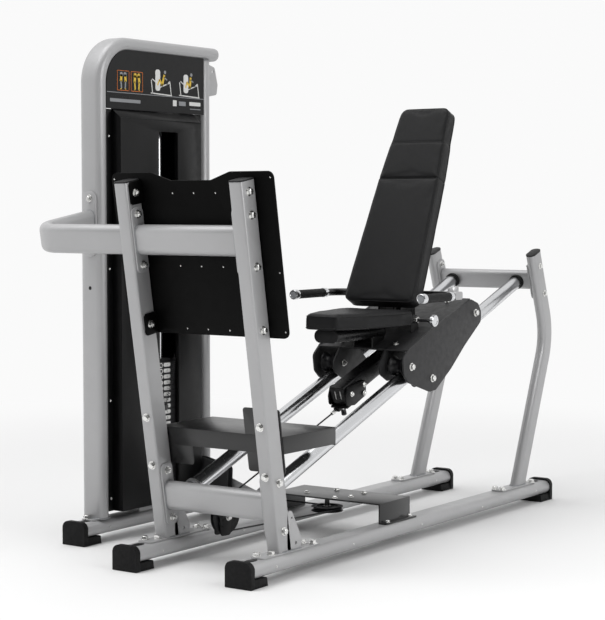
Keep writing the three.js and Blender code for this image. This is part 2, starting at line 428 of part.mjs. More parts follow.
// ---------------------------------------------------------------- tow block (sloped frame: x, s, p)
const BORE_S = 790;
{
  const cheek = rounded([[792, 49, 10], [912, 26, 10], [894, -30, 10], [812, -33, 10], [762, -14, 10], [768, 20, 10]]);
  const g = union(plateX(cheek, 34, 40), plateX(cheek, -40, -34), box(-36, 36, 768, 890, -28, -20), box(-12, 12, 748, 772, -32, -20));
  const hole = plateZ(circle(6.6, 12, 0, BORE_S), -60, 60);
  put(press, 'tow_block', sloped(minus(g, hole)), BLACK);
  put(press, 'start_pin', sloped(union(plateZ(circle(6, 14, 0, BORE_S), -50, -10), plateZ(circle(10, 16, 0, BORE_S), -64, -42))), CHROME);
}
{
  const a = cableExit.clone().addScaledVector(slopeDir, GAP), b = V3(-2, 743, -27).applyMatrix4(SLOPE);
  put(press, 'press_cable', sweep(circle(CABLE_R, 6), new Route([a, b], 0), [1, 0, 0]), CABLE);
}

// ---------------------------------------------------------------- carriage (sloped frame)
const ROLLERS = { rear: [1496, 51.3], front: [985, 51.3], under: [1109, -51.3] };
{
  const side = rounded([[928, 40, 20], [949, 3, 16], [1076, -92, 20], [1119, -103, 14], [1250, -75, 30], [1377, -34], [1526, 3, 20], [1539, 40, 20], [1528, 78, 20], [1480, 115, 26], [1438, 116], [1309, 121], [1152, 123], [998, 121, 20], [940, 100, 20]]);
  const inner = rounded([[922, 41, 12], [958, 1, 12], [998, -10], [1129, -19, 6], [1137, 2, 6], [1108, 45, 12], [1120, 118], [985, 118], [923, 82, 6]]);
  const innerRear = rounded([[1440, 118], [1462, 20, 16], [1530, 20, 16], [1530, 60, 20], [1500, 118]]);
  const parts = [];
  for (const s of [-1, 1]) {
    parts.push(s > 0 ? plateX(side, 193, 200) : plateX(side, -200, -193));
    parts.push(s > 0 ? plateX(inner, 97, 103) : plateX(inner, -103, -97));
    parts.push(s > 0 ? plateX(innerRear, 97, 103) : plateX(innerRear, -103, -97));
    for (const [a, b] of Object.values(ROLLERS)) parts.push(s > 0 ? rodX(8, b > 0 ? 98 : 98, 198, a, b, 12) : rodX(8, -198, -98, a, b, 12));
  }
  // the lower roller axle is held by a tongue of the inner plate
  const tongue = rounded([[1090, -10], [1094, -66, 14], [1126, -66, 14], [1129, -10]]);
  parts.push(plateX(tongue, 97, 103), plateX(tongue, -103, -97));
  parts.push(box(-196, 196, 985, 1480, 112, 118));
  // spacers that carry the range tube
  parts.push(box(-40, 40, 1180, 1230, 53 + GAP, 114), box(-40, 40, 1420, 1460, 53 + GAP, 114));
  let g = sloped(union(...parts));
  // seat bearer: oval tube and its saddle on the top plate
  const line = y => 231 + 0.3428 * ((y - 162.5) / 0.9394) + 110;
  const bearer = plateY(shift(stadium(100, 47), 0, 736.5), 845, 1170);
  const saddle = x => plateX([V2(1092, line(1092)), V2(1170, line(1170)), V2(1170, 728), V2(1092, 728)], x, x + 6);
  g = union(g, bearer, saddle(-44), saddle(38));
  // uprights with the backrest axle and the handle tube holes
  const P = V3(0, ...PIVOT).applyMatrix4(BACK);
  const up = rounded([[1262, 738], [P.y - 15, P.z - 40, 10], [P.y - 15, P.z + 15, 13], [P.y + 14, P.z + 16, 12], [1372, 886, 18], [1380, 860, 14], [1384, 783]]);
  const upright = x => plateX(up, x, x + 8, [circle(14.5, 16, 1345, 871)]);
  const knobPost = plateX(rounded([[1226, 724], [1234, 798, 12], [1270, 798, 12], [1282, 745]]), 120, 128, [circle(7, 12, 1252, 779)]);
  g = union(g, upright(43), upright(-51), rodX(8, -54, 54, P.y, P.z, 14), knobPost);
  g = minus(g, sloped(box(20, 46, 1118, 1242, 100, 130)), sloped(box(-60, 60, 700, 1600, 40, 53)));
  put(press, 'carriage_frame', g, CHARCOAL);
}
{
  const sec = rounded([[-30, 52.7, 6], [30, 52.7, 6], [30, 6, 0], [26, -6, 0], [16, -15, 0], [0, -17.3, 0], [-16, -15, 0], [-26, -6, 0], [-30, 6, 0]], 2);
  const bore = rounded([[-26, 48.7, 3], [26, 48.7, 3], [26, 6, 0], [22, -4, 0], [13, -11.5, 0], [0, -13.3, 0], [-13, -11.5, 0], [-22, -4, 0], [-26, 6, 0]], 2);
  let g = union(plateY(sec, 779, 1500, [bore]), plateY(sec, 775, 779.5));
  const holes = [];
  for (let i = 0; i < 7; i++) holes.push(plateZ(circle(7, 10, 0, BORE_S + 50 * i), -30, 0));
  const slots = [-11, 11].map(x => plateY(stadium(6, 34).map(q => V2(q.x + x, q.y + 20)), 770, 776.5));
  put(press, 'range_tube', sloped(minus(g, ...holes, ...slots)), BLACK);
}
const rollerProfile = [[8.4, -28], [37, -28], [38, -27]];
for (let i = 0; i <= 6; i++) { const x = -22.5 + 7.5 * i; rollerProfile.push([51.3 - Math.sqrt(26.9 * 26.9 - x * x), x]); }
rollerProfile.push([38, 27], [37, 28], [8.4, 28]);
for (const [side, sx] of [['left', -1], ['right', 1]])
  for (const [where, [a, b]] of Object.entries(ROLLERS))
    put(press, `roller_${side}_${where}`, sloped(turnedX(rollerProfile, 16, sx * GUIDE_X, a, b)), NYLON);

// ---------------------------------------------------------------- seat
{
  const o = rounded([[-66, 808, 22], [66, 808, 22], [118, 935, 60], [155, 1120, 40], [155, 1212, 26], [-155, 1212, 26], [-155, 1120, 40], [-118, 935, 60]], 4);
  put(press, 'seat_pad', plateZ(o, 760 + GAP, 818), VINYL);
}
// ---------------------------------------------------------------- handles
{
  const hx = 280, hy = 1345, hz = 871;
  const path = new Route([V3(hx, 1046, hz), V3(hx, hy, hz), V3(-hx, hy, hz), V3(-hx, 1046, hz)], 58, 6);
  put(press, 'handle_tube', sweep(circle(14, 16), path, [1, 0, 0]), BLACK);
  for (const [side, sx] of [['left', -1], ['right', 1]]) {
    const sleeve = plateY(circle(16.5, 16, sx * hx, hz), 1064, 1240), cap = plateY(circle(19, 16, sx * hx, hz), 1040, 1065), collar = plateY(circle(18, 16, sx * hx, hz), 1239, 1262);
    put(press, 'grip_' + side, minus(union(sleeve, cap, collar), plateY(circle(14.4, 16, sx * hx, hz), 1045, 1300)), RUBBER);
  }
}
// ---------------------------------------------------------------- backrest (back frame: x, n rearward, t upwards along the pad)
{
  const outline = (t0, w0, t1, w1, r0, r1) => rounded([[-w0, t0, r0], [w0, t0, r0], [w1, t1, r1], [-w1, t1, r1]], 4);
  const lower = outline(-35, 158, 480, 135, 26, 10), upper = rounded([[-134, 483, 8], [134, 483, 8], [113, 735, 30], [106, 783, 28], [-106, 783, 28], [-113, 735, 30]], 4);
  put(press, 'backrest_pad_lower', backed(plateY(lower, 0, 60)), VINYL);
  put(press, 'backrest_pad_upper', backed(plateY(upper, 0, 60)), VINYL);
  const inset = (t0, w0, t1, w1) => rounded([[-w0, t0, 12], [w0, t0, 12], [w1, t1, 12], [-w1, t1, 12]], 2);
  const boards = minus(plateY(inset(-20, 140, 770, 95), 60 + GAP, 66), box(39, 57, 50, 70, 8, 96), box(-57, -39, 50, 70, 8, 96));
  const spine = plateZ(shift(rrect(76, 40, 8, 2), 0, 86), 4, 640);
  const P = V3(0, ...PIVOT).applyMatrix4(BACK);
  // indexing sector: seven small holes 3 degrees apart on one arc about the pivot
  const onArc = (r, deg) => [P.y + r * Math.cos(deg * Math.PI / 180), P.z + r * Math.sin(deg * Math.PI / 180)];
  const HOLE_R = Math.hypot(1252 - P.y, 779 - P.z), HOLE_A = Math.atan2(779 - P.z, 1252 - P.y) * 180 / Math.PI;
  const index = [0, 1, 2, 3, 4, 5, 6].map(i => circle(2.4, 8, ...onArc(HOLE_R, HOLE_A + 3 * i)));
  const sector = plateX(rounded([[P.y - 14, P.z + 12, 10], [P.y + 12, P.z + 10, 8], [P.y + 20, P.z - 50, 12],
    [...onArc(126, -92), 3], ...[-98, -104, -110].map(d => [...onArc(126, d), 0]), [...onArc(126, -116.2), 2]]), 28, 36, index);
  let g = union(backed(boards), backed(spine), sector);
  g = minus(g, rodX(8.5, -60, 60, P.y, P.z, 14));
  put(press, 'backrest_frame', g, BLACK);
}
put(press, 'recline_knob', union(rodX(2.2, 26, 41, 1252, 779, 8), rodX(6, 40, 200, 1252, 779, 12), rodX(22.5, 205, 219, 1252, 779, 20), rodX(10, 199, 206, 1252, 779, 14)), CHROME);

model.position.set(-CENTRE[0], -CENTRE[1], 0);
model.updateMatrixWorld(true);

export default model;
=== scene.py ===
# Looks for the seated leg press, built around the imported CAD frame.
import bpy, bmesh, math, random
import numpy as np
from mathutils import Vector, Matrix
from mathutils.geometry import tessellate_polygon

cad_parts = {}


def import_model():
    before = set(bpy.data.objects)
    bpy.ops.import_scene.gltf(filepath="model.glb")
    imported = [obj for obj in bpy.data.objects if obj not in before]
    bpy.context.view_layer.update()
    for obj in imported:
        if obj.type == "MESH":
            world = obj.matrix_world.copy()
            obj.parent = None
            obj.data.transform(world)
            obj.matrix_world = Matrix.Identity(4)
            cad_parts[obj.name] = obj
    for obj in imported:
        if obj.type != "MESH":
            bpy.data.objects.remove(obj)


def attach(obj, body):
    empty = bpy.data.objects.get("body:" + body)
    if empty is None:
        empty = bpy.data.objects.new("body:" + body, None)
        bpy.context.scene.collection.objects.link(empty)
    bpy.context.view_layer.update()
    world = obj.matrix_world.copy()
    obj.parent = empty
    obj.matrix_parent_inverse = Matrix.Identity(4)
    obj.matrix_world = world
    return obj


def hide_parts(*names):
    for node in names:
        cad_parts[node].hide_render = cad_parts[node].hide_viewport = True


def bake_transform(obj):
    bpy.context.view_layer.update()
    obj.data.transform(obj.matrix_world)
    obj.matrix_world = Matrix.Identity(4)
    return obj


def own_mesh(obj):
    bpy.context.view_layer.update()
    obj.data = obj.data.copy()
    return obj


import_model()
ORIGIN = Vector((0.208, -1.06925, 0.0))     # pieces are drawn from the point midway between the rails; this moves them into the row frame
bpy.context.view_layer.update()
RND = random.Random(7)

# ------------------------------------------------------------------ sizes (mm), the same as the CAD
RAIL_X, RAIL_TOP, RAIL_LEN = 234, 78, 2095
TOWER_X, TOWER_H, TOWER_Y0, TOWER_Y1 = -668, 1812, 231, 1110
POST_LEAN, INCLINE, BACK_TILT = 9.665, 20.05, -25.23
GUIDE_X, GUIDE_R = 150, 26
STACK_Y, PITCH, PLATES, LIFTED, STACK_Z0 = 655, 22, 22, 8, 142
CABLE_Y, SHEAVE_R = 907, 52
PIVOT_N, PIVOT_T = 80, 48
POST_TOP = 1227.7
REAR_S = 1966
ROLLERS = {"rear": (1496, 51.3), "front": (985, 51.3), "under": (1109, -51.3)}

def rotx(deg, org):
    return Matrix.Translation(org) @ Matrix.Rotation(math.radians(deg), 4, "X")

I4 = Matrix.Identity(4)
LEAN = rotx(POST_LEAN, (0, 265, 83))
SLOPE = rotx(INCLINE, (0, 203, 231))
BACK = rotx(BACK_TILT, (0, 1207, 880))
PIVOT = BACK @ Vector((0, PIVOT_N, PIVOT_T))
SI, CO = math.sin(math.radians(INCLINE)), math.cos(math.radians(INCLINE))

# ------------------------------------------------------------------ outlines
def stadium(w, h, n=14):
    r, d, p = min(w, h) / 2, max(w, h) / 2 - min(w, h) / 2, []
    for i in range(n + 1):
        a = -math.pi / 2 + math.pi * i / n
        p.append((d + r * math.cos(a), r * math.sin(a)))
    for i in range(n + 1):
        a = math.pi / 2 + math.pi * i / n
        p.append((-d + r * math.cos(a), r * math.sin(a)))
    return p if w >= h else [(-y, x) for x, y in p]

def circle(r, n=48, cx=0.0, cy=0.0, a0=0.0):
    return [(cx + r * math.cos(a0 + 2 * math.pi * i / n), cy + r * math.sin(a0 + 2 * math.pi * i / n)) for i in range(n)]

def rounded(pts, n=8):
    out, k = [], len(pts)
    for i in range(k):
        p = pts[i]
        r = p[2] if len(p) > 2 else 0
        P = Vector(p[:2])
        if not r:
            out.append(tuple(P)); continue
        A = (Vector(pts[i - 1][:2]) - P).normalized()
        B = (Vector(pts[(i + 1) % k][:2]) - P).normalized()
        half = math.acos(max(-1, min(1, A.dot(B)))) / 2
        t = r / math.tan(half)
        C = P + (A + B).normalized() * (r / math.sin(half))
        a, b = P + A * t - C, P + B * t - C
        a0 = math.atan2(a.y, a.x)
        da = math.atan2(b.y, b.x) - a0
        while da > math.pi: da -= 2 * math.pi
        while da < -math.pi: da += 2 * math.pi
        for j in range(n + 1):
            out.append((C.x + r * math.cos(a0 + da * j / n), C.y + r * math.sin(a0 + da * j / n)))
    return out

def rrect(w, h, r, n=8, cx=0.0, cy=0.0):
    return [(x + cx, y + cy) for x, y in rounded([(-w / 2, -h / 2, r), (w / 2, -h / 2, r), (w / 2, h / 2, r), (-w / 2, h / 2, r)], n)]

def shift(pts, dx, dy):
    return [(x + dx, y + dy) for x, y in pts]

def area2(pts):
    return sum(pts[i][0] * pts[(i + 1) % len(pts)][1] - pts[(i + 1) % len(pts)][0] * pts[i][1] for i in range(len(pts)))

# ------------------------------------------------------------------ mesh building
class Geo:
    """vertices (mm) and faces with a material number"""
    def __init__(self):
        self.v, self.f, self.m = [], [], []
    def add(self, verts, faces, mat=0, matrix=None):
        k = len(self.v)
        self.v += [tuple((matrix @ Vector(p)) if matrix else p) for p in verts]
        self.f += [tuple(i + k for i in f) for f in faces]
        self.m += [mat] * len(faces)
        return self
    def join(self, other, matrix=None, mat=None):
        k = len(self.v)
        self.v += [tuple((matrix @ Vector(p)) if matrix else p) for p in other.v]
        self.f += [tuple(i + k for i in f) for f in other.f]
        self.m += [mat if mat is not None else q for q in other.m]
        return self

PLANES = {"YZ": lambda u, v, d: (d, u, v), "XZ": lambda u, v, d: (u, d, v), "XY": lambda u, v, d: (u, v, d)}

def prism(outline, d0, d1, plane="XY", holes=(), mat=0, matrix=None):
    """an outline with depth d0..d1 along the plane's normal"""
    f3 = PLANES[plane]
    o = outline if area2(outline) > 0 else outline[::-1]
    hs = [h if area2(h) < 0 else h[::-1] for h in holes]
    loops = [o] + hs
    flat = [p for l in loops for p in l]
    n = len(flat)
    verts = [f3(p[0], p[1], d0) for p in flat] + [f3(p[0], p[1], d1) for p in flat]
    faces = []
    if hs:
        tris = tessellate_polygon([[Vector((p[0], p[1], 0)) for p in l] for l in loops])
        for t in tris:
            a, b, c = (flat[i] for i in t)
            s = (b[0] - a[0]) * (c[1] - a[1]) - (c[0] - a[0]) * (b[1] - a[1])
            t = tuple(t) if s > 0 else tuple(t)[::-1]
            faces.append(t[::-1]); faces.append(tuple(i + n for i in t))
    else:
        faces.append(tuple(range(n))[::-1]); faces.append(tuple(range(n, 2 * n)))
    k = 0
    for l in loops:
        m = len(l)
        for i in range(m):
            a, b = k + i, k + (i + 1) % m
            faces.append((a, b, b + n, a + n))
        k += m
    if plane == "XZ":
        faces = [f[::-1] for f in faces]
    return Geo().add(verts, faces, mat, matrix)

def box(x0, x1, y0, y1, z0, z1, mat=0, matrix=None):
    return prism([(x0, y0), (x1, y0), (x1, y1), (x0, y1)], z0, z1, "XY", mat=mat, matrix=matrix)

def route(corners, radius, steps=14):
    """rings (point, tangent) along straight runs joined by arcs"""
    out, n = [], len(corners)
    C = [Vector(c) for c in corners]
    for i in range(n):
        P = C[i]
        if i == 0:
            out.append((P, (C[1] - P).normalized())); continue
        if i == n - 1:
            out.append((P, (P - C[i - 1]).normalized())); continue
        r = radius[i] if isinstance(radius, (list, tuple)) else radius
        A, B = (C[i - 1] - P).normalized(), (C[i + 1] - P).normalized()
        half = math.acos(max(-1, min(1, A.dot(B)))) / 2
        t = r / math.tan(half)
        O = P + (A + B).normalized() * (r / math.sin(half))
        a = (P + A * t - O).normalized()
        axis = (-A).cross(B).normalized()
        total = math.pi - 2 * half
        for j in range(steps + 1):
            d = Matrix.Rotation(total * j / steps, 3, axis) @ a
            out.append((O + d * r, axis.cross(d)))
    return out

def sweep(section, rings, adir, mat=0, caps=True, matrix=None, scale=None):
    """section (u, v) along rings; u starts along adir"""
    n, verts, faces = len(section), [], []
    T = rings[0][1]
    U = Vector(adir); U = (U - T * U.dot(T)).normalized()
    for k, (P, t) in enumerate(rings):
        if k:
            q = rings[k - 1][1].rotation_difference(t)
            U = (q @ U); U = (U - t * U.dot(t)).normalized()
        V = t.cross(U)
        s = scale[k] if scale else 1.0
        verts += [tuple(P + U * (a * s) + V * (b * s)) for a, b in section]
    ccw = area2(section) > 0
    for k in range(len(rings) - 1):
        for i in range(n):
            a, b = k * n + i, k * n + (i + 1) % n
            f = (a, b, b + n, a + n)
            faces.append(f if ccw else f[::-1])
    if caps:
        e = (len(rings) - 1) * n
        a, b = tuple(range(n))[::-1], tuple(range(e, e + n))
        faces += [a, b] if ccw else [a[::-1], b[::-1]]
    return Geo().add(verts, faces, mat, matrix)

def lathe(profile, seg=48, mat=0, matrix=None, closed=False):
    """profile [(r, h)] turned about +Z; ends on the axis or closed ring"""
    verts, faces, n = [], [], len(profile)
    ring = []
    for r, h in profile:
        if r < 1e-6:
            ring.append([len(verts)]); verts.append((0, 0, h))
        else:
            ring.append(list(range(len(verts), len(verts) + seg)))
            verts += [(r * math.cos(2 * math.pi * i / seg), r * math.sin(2 * math.pi * i / seg), h) for i in range(seg)]
    pairs = [(i, i + 1) for i in range(n - 1)] + ([(n - 1, 0)] if closed else [])
    for a, b in pairs:
        A, B = ring[a], ring[b]
        for i in range(seg):
            j = (i + 1) % seg
            if len(A) == 1 and len(B) == 1: continue
            if len(A) == 1: faces.append((A[0], B[j], B[i]))
            elif len(B) == 1: faces.append((A[i], A[j], B[0]))
            else: faces.append((A[i], A[j], B[j], B[i]))
    return Geo().add(verts, faces, mat, matrix)

def to_dir(org, direction, roll=0.0):
    """matrix that puts local +Z along direction at org"""
    d = Vector(direction).normalized()
    q = Vector((0, 0, 1)).rotation_difference(d)
    return Matrix.Translation(Vector(org)) @ q.to_matrix().to_4x4() @ Matrix.Rotation(roll, 4, "Z")

def obj(name, geo, mats, body, replaces=(), bevel=0.0, segs=2, angle=35, smooth=35, fix=True, merge=0.0, limit=None):
    me = bpy.data.meshes.new(name)
    me.from_pydata([(x / 1000, y / 1000, z / 1000) for x, y, z in geo.v], [], geo.f)
    for m in (mats if isinstance(mats, (list, tuple)) else [mats]):
        me.materials.append(m)
    me.polygons.foreach_set("material_index", geo.m)
    bm = bmesh.new(); bm.from_mesh(me)
    bmesh.ops.remove_doubles(bm, verts=bm.verts, dist=max(merge, 1e-6))
    if fix:
        bmesh.ops.recalc_face_normals(bm, faces=bm.faces)
    bm.to_mesh(me); bm.free()
    o = bpy.data.objects.new(name, me)
    bpy.context.scene.collection.objects.link(o)
    if bevel:
        mod = o.modifiers.new("b", "BEVEL")
        mod.width = bevel / 1000; mod.segments = segs; mod.limit_method = "ANGLE"
        mod.angle_limit = math.radians(angle); mod.use_clamp_overlap = True; mod.miter_outer = "MITER_ARC" if segs > 1 else "MITER_SHARP"
        dg = bpy.context.evaluated_depsgraph_get()
        new = bpy.data.meshes.new_from_object(o.evaluated_get(dg))
        o.modifiers.clear(); o.data = new; new.name = name
        bpy.data.meshes.remove(me); me = new
    me.polygons.foreach_set("use_smooth", [True] * len(me.polygons))
    me.set_sharp_from_angle(angle=math.radians(smooth))
    o.location = ORIGIN
    if body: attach(o, body)
    if replaces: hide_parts(*replaces)
    return o

# ------------------------------------------------------------------ materials
def srgb(v):
    v /= 255.0
    return v / 12.92 if v <= 0.04045 else ((v + 0.055) / 1.055) ** 2.4

def grey(r, g=None, b=None):
    return (srgb(r), srgb(g if g is not None else r), srgb(b if b is not None else r))

def material(name, color, rough=0.45, metal=0.0, grain=(700, 0.15), blot=(5, 0.05), rvar=0.1, coat=0.0, spec=0.5, scratch=0.0, brushed=None, emit=0.0, cells=None):
    m = bpy.data.materials.new(name)
    m.use_nodes = True
    nt = m.node_tree; N = nt.nodes; L = nt.links
    b = N["Principled BSDF"]
    tc = N.new("ShaderNodeTexCoord")
    def noise(scale, detail=3, rough_=0.55, vec=None):
        t = N.new("ShaderNodeTexNoise"); t.inputs["Scale"].default_value = scale
        t.inputs["Detail"].default_value = detail; t.inputs["Roughness"].default_value = rough_
        L.new(vec if vec else tc.outputs["Object"], t.inputs["Vector"])
        return t
    def rng(src, a, b_, lo, hi):
        r = N.new("ShaderNodeMapRange")
        r.inputs["From Min"].default_value = a; r.inputs["From Max"].default_value = b_
        r.inputs["To Min"].default_value = lo; r.inputs["To Max"].default_value = hi
        L.new(src, r.inputs["Value"]); return r
    big = noise(blot[0], 5)
    k = rng(big.outputs["Fac"], 0.3, 0.7, 1 - blot[1], 1 + blot[1])
    mul = N.new("ShaderNodeVectorMath"); mul.operation = "SCALE"
    mul.inputs[0].default_value = color
    L.new(k.outputs["Result"], mul.inputs["Scale"])
    L.new(mul.outputs["Vector"], b.inputs["Base Color"])
    mid = noise(blot[0] * 9, 4)
    r = rng(mid.outputs["Fac"], 0.3, 0.7, max(0.02, rough - rvar), rough + rvar)
    last = r.outputs["Result"]
    vec = tc.outputs["Object"]
    if brushed:
        mp = N.new("ShaderNodeMapping"); mp.inputs["Scale"].default_value = brushed
        L.new(tc.outputs["Object"], mp.inputs["Vector"]); vec = mp.outputs["Vector"]
    fine = noise(grain[0], 2, 0.5, vec)
    h = fine.outputs["Fac"]
    if cells:
        v = N.new("ShaderNodeTexVoronoi"); v.feature = "DISTANCE_TO_EDGE"; v.inputs["Scale"].default_value = cells[0]
        L.new(tc.outputs["Object"], v.inputs["Vector"])
        e = rng(v.outputs["Distance"], 0.0, 0.12, 0.0, 1.0)
        mx = N.new("ShaderNodeMath"); mx.operation = "MULTIPLY_ADD"; mx.inputs[1].default_value = cells[1]
        L.new(e.outputs["Result"], mx.inputs[0]); L.new(h, mx.inputs[2]); h = mx.outputs[0]
    if scratch:
        mp = N.new("ShaderNodeMapping"); mp.inputs["Scale"].default_value = (9, 220, 30); mp.inputs["Rotation"].default_value = (0.5, 0.3, 0.8)
        L.new(tc.outputs["Object"], mp.inputs["Vector"])
        s = noise(4, 2, 0.5, mp.outputs["Vector"])
        sc = rng(s.outputs["Fac"], 0.66, 0.72, 0.0, scratch)
        ad = N.new("ShaderNodeMath"); ad.operation = "ADD"
        L.new(last, ad.inputs[0]); L.new(sc.outputs["Result"], ad.inputs[1]); last = ad.outputs[0]
    L.new(last, b.inputs["Roughness"])
    bp = N.new("ShaderNodeBump"); bp.inputs["Strength"].default_value = grain[1]; bp.inputs["Distance"].default_value = 0.0004
    L.new(h, bp.inputs["Height"]); L.new(bp.outputs["Normal"], b.inputs["Normal"])
    b.inputs["Metallic"].default_value = metal
    b.inputs["Specular IOR Level"].default_value = spec
    if coat:
        b.inputs["Coat Weight"].default_value = coat; b.inputs["Coat Roughness"].default_value = 0.12
    if emit:
        b.inputs["Emission Color"].default_value = (*color, 1); b.inputs["Emission Strength"].default_value = emit
    m.diffuse_color = (*color, 1)
    return m

SILVER = material("powder_silver", grey(174, 174, 175), 0.4, 0.35, (1400, 0.22), (3, 0.03), 0.06, 0.15, 0.5, 0.08)
SILVER_D = material("powder_silver_worn", grey(152, 154, 156), 0.48, 0.5, (1100, 0.3), (6, 0.07), 0.1, 0.1, 0.5, 0.15)
CHARCOAL = material("powder_charcoal", grey(48, 48, 49), 0.46, 0.0, (1500, 0.3), (5, 0.08), 0.09, 0.0, 0.3, 0.1)
BLACKS = material("sheet_black", grey(8, 8, 9), 0.36, 0.0, (1300, 0.16), (4, 0.12), 0.06, 0.0, 0.28, 0.1)
BLACKF = material("plate_black", grey(3, 3, 3), 0.5, 0.0, (1300, 0.16), (4, 0.1), 0.05, 0.0, 0.1, 0.06)
BLACKG = material("tray_black", grey(10, 10, 11), 0.3, 0.0, (1300, 0.06), (4, 0.04), 0.02, 0.0, 0.7, 0.04)
BLACKT = material("tube_black", grey(15, 15, 16), 0.32, 0.0, (1500, 0.2), (6, 0.12), 0.08, 0.0, 0.4, 0.1)
CHROME = material("chrome", grey(222, 223, 225), 0.2, 1.0, (260, 0.008), (8, 0.02), 0.04, 0.0, 0.5, 0.08)
STEEL = material("zinc", grey(232, 232, 230), 0.24, 1.0, (900, 0.25), (40, 0.08), 0.1, 0.0, 0.5, 0.1)
IRON = material("iron_plate", grey(28, 28, 30), 0.55, 0.0, (420, 0.5), (9, 0.14), 0.12, 0.0, 0.5, 0.15)
RUBBER = material("foot_rubber", grey(13, 13, 14), 0.66, 0.0, (650, 0.5), (8, 0.14), 0.1, 0.0, 0.25)
GRIP = material("grip_rubber", grey(22, 22, 23), 0.62, 0.0, (380, 0.7), (10, 0.12), 0.1, 0.0, 0.4, 0.0, None, 0.0, (420, 0.5))
VINYL = material("pad_vinyl", grey(22, 22, 23), 0.46, 0.0, (1500, 0.22), (7, 0.1), 0.06, 0.0, 0.25, 0.0, None, 0.0, (620, 0.6))
SEAM = material("pad_piping", grey(13, 13, 14), 0.55, 0.0, (1700, 0.4), (9, 0.1), 0.08, 0.0, 0.4)
THREAD = material("stitching", grey(62, 62, 66), 0.7, 0.0, (2600, 0.6), (30, 0.2), 0.1, 0.0, 0.3)
BOARD = material("pad_board", grey(16, 16, 17), 0.6, 0.0, (500, 0.5), (8, 0.15), 0.1, 0.0, 0.2)
NYLON = material("pulley_nylon", grey(20, 20, 22), 0.4, 0.0, (260, 0.2), (12, 0.12), 0.08, 0.0, 0.35)
BEAR = material("bearing_steel", grey(170, 170, 168), 0.28, 1.0, (500, 0.2), (30, 0.06), 0.08)
PANEL = material("print_panel", grey(20, 20, 21), 0.4, 0.0, (900, 0.15), (4, 0.06), 0.08, 0.0, 0.25)
CABLE = material("cable_sheath", grey(22, 22, 24), 0.36, 0.0, (900, 0.3), (20, 0.1), 0.08)
PIN = material("pin_plastic", grey(28, 28, 30), 0.32, 0.0, (500, 0.2), (14, 0.1), 0.07, 0.2)
CAPM = material("cap_plastic", grey(26, 26, 27), 0.5, 0.0, (800, 0.35), (12, 0.12), 0.1, 0.0, 0.3)
WHITE = material("print_white", grey(222, 222, 220), 0.5, 0.0, (900, 0.1), (12, 0.03), 0.08)
GREYP = material("print_grey", grey(140, 142, 145), 0.45, 0.0, (900, 0.1), (12, 0.03), 0.08)
ORANGE = material("print_orange", grey(226, 120, 30), 0.5, 0.0, (900, 0.1), (12, 0.05), 0.08)
YELLOW = material("print_yellow", grey(222, 186, 60), 0.5, 0.0, (900, 0.1), (12, 0.05), 0.08)
TREAD = material("tread_rubber", grey(15, 15, 16), 0.7, 0.0, (500, 0.6), (9, 0.14), 0.1, 0.0, 0.18, 0.0, None, 0.0, (160, 0.8))
WELD = material("weld_bead", grey(150, 152, 154), 0.45, 0.55, (300, 0.9), (30, 0.08), 0.1)

def soft(pts, r):
    """rounds every corner by up to r"""
    out, n = [], len(pts)
    for i in range(n):
        P, a, b = Vector(pts[i][:2]), Vector(pts[i - 1][:2]), Vector(pts[(i + 1) % n][:2])
        A, B = a - P, b - P
        half = math.acos(max(-1, min(1, A.normalized().dot(B.normalized())))) / 2
        lim = 0.46 * min(A.length, B.length) * math.tan(half)
        rr = min(pts[i][2] if len(pts[i]) > 2 else r, lim)
        out.append((P.x, P.y, rr))
    return rounded(out, 6)

# ------------------------------------------------------------------ fasteners
BOLTS = {}
def bolt(body, org, direction, af=17, head=8, washer=26, frame_=I4, kind="hex", mat_=0):
    """a bolt head on its washer, looking along direction"""
    g = BOLTS.setdefault(body, Geo())
    M = frame_ @ to_dir(org, direction, RND.uniform(0, 1.0))
    z = 0.0
    if washer:
        g.join(lathe([(af * 0.3, 0), (washer / 2 - 0.4, 0), (washer / 2, 0.5), (washer / 2, 1.6), (washer / 2 - 0.5, 2.1), (0, 2.1)], 32), M)
        z = 2.1
    if kind == "hex":
        r = af / math.sqrt(3)
        g.join(lathe([(r * 0.97, z), (r, z + 0.4), (r, z + head - 1.6), (r * 0.86, z + head - 0.3), (r * 0.8, z + head), (0, z + head)], 6), M)
    elif kind == "dome":
        g.join(lathe([(af / 2, z), (af / 2, z + 0.6), (af * 0.46, z + head * 0.45), (af * 0.34, z + head * 0.78), (af * 0.2, z + head * 0.95), (af * 0.17, z + head), (af * 0.16, z + head * 0.6), (0, z + head * 0.55)], 28), M)
    elif kind == "nut":
        r = af / math.sqrt(3)
        g.join(lathe([(r * 0.9, z), (r, z + 1), (r, z + head - 1), (r * 0.88, z + head), (af * 0.3, z + head), (af * 0.29, z + head + 4), (af * 0.2, z + head + 4.8), (0, z + head + 4.8)], 6), M)

WELDS = {}
def weld(body, path, r=2.6, frame_=I4, closed=False):
    """a rippled bead along a path of points"""
    pts = [Vector(p) for p in path]
    if closed: pts.append(pts[0])
    P = []
    for a, b in zip(pts, pts[1:]):
        n = max(1, int((b - a).length / 2.6))
        P += [a.lerp(b, i / n) for i in range(n)]
    P.append(pts[-1])
    if len(P) < 3: return
    rings = []
    for i, p in enumerate(P):
        t = (P[min(i + 1, len(P) - 1)] - P[max(i - 1, 0)])
        if t.length < 1e-6: t = Vector((0, 0, 1))
        rings.append((p, t.normalized()))
    ad = Vector((0.31, 0.52, 0.8))
    WELDS.setdefault(body, Geo()).join(sweep(circle(r, 7), rings, ad, scale=[1 + 0.16 * math.sin(i * 1.9) for i in range(len(rings))]), frame_)

# ------------------------------------------------------------------ fixed frame: rails and feet
Y_AX, X_AX = Vector((0, 1, 0)), Vector((1, 0, 0))
FRAME_M = "frame"

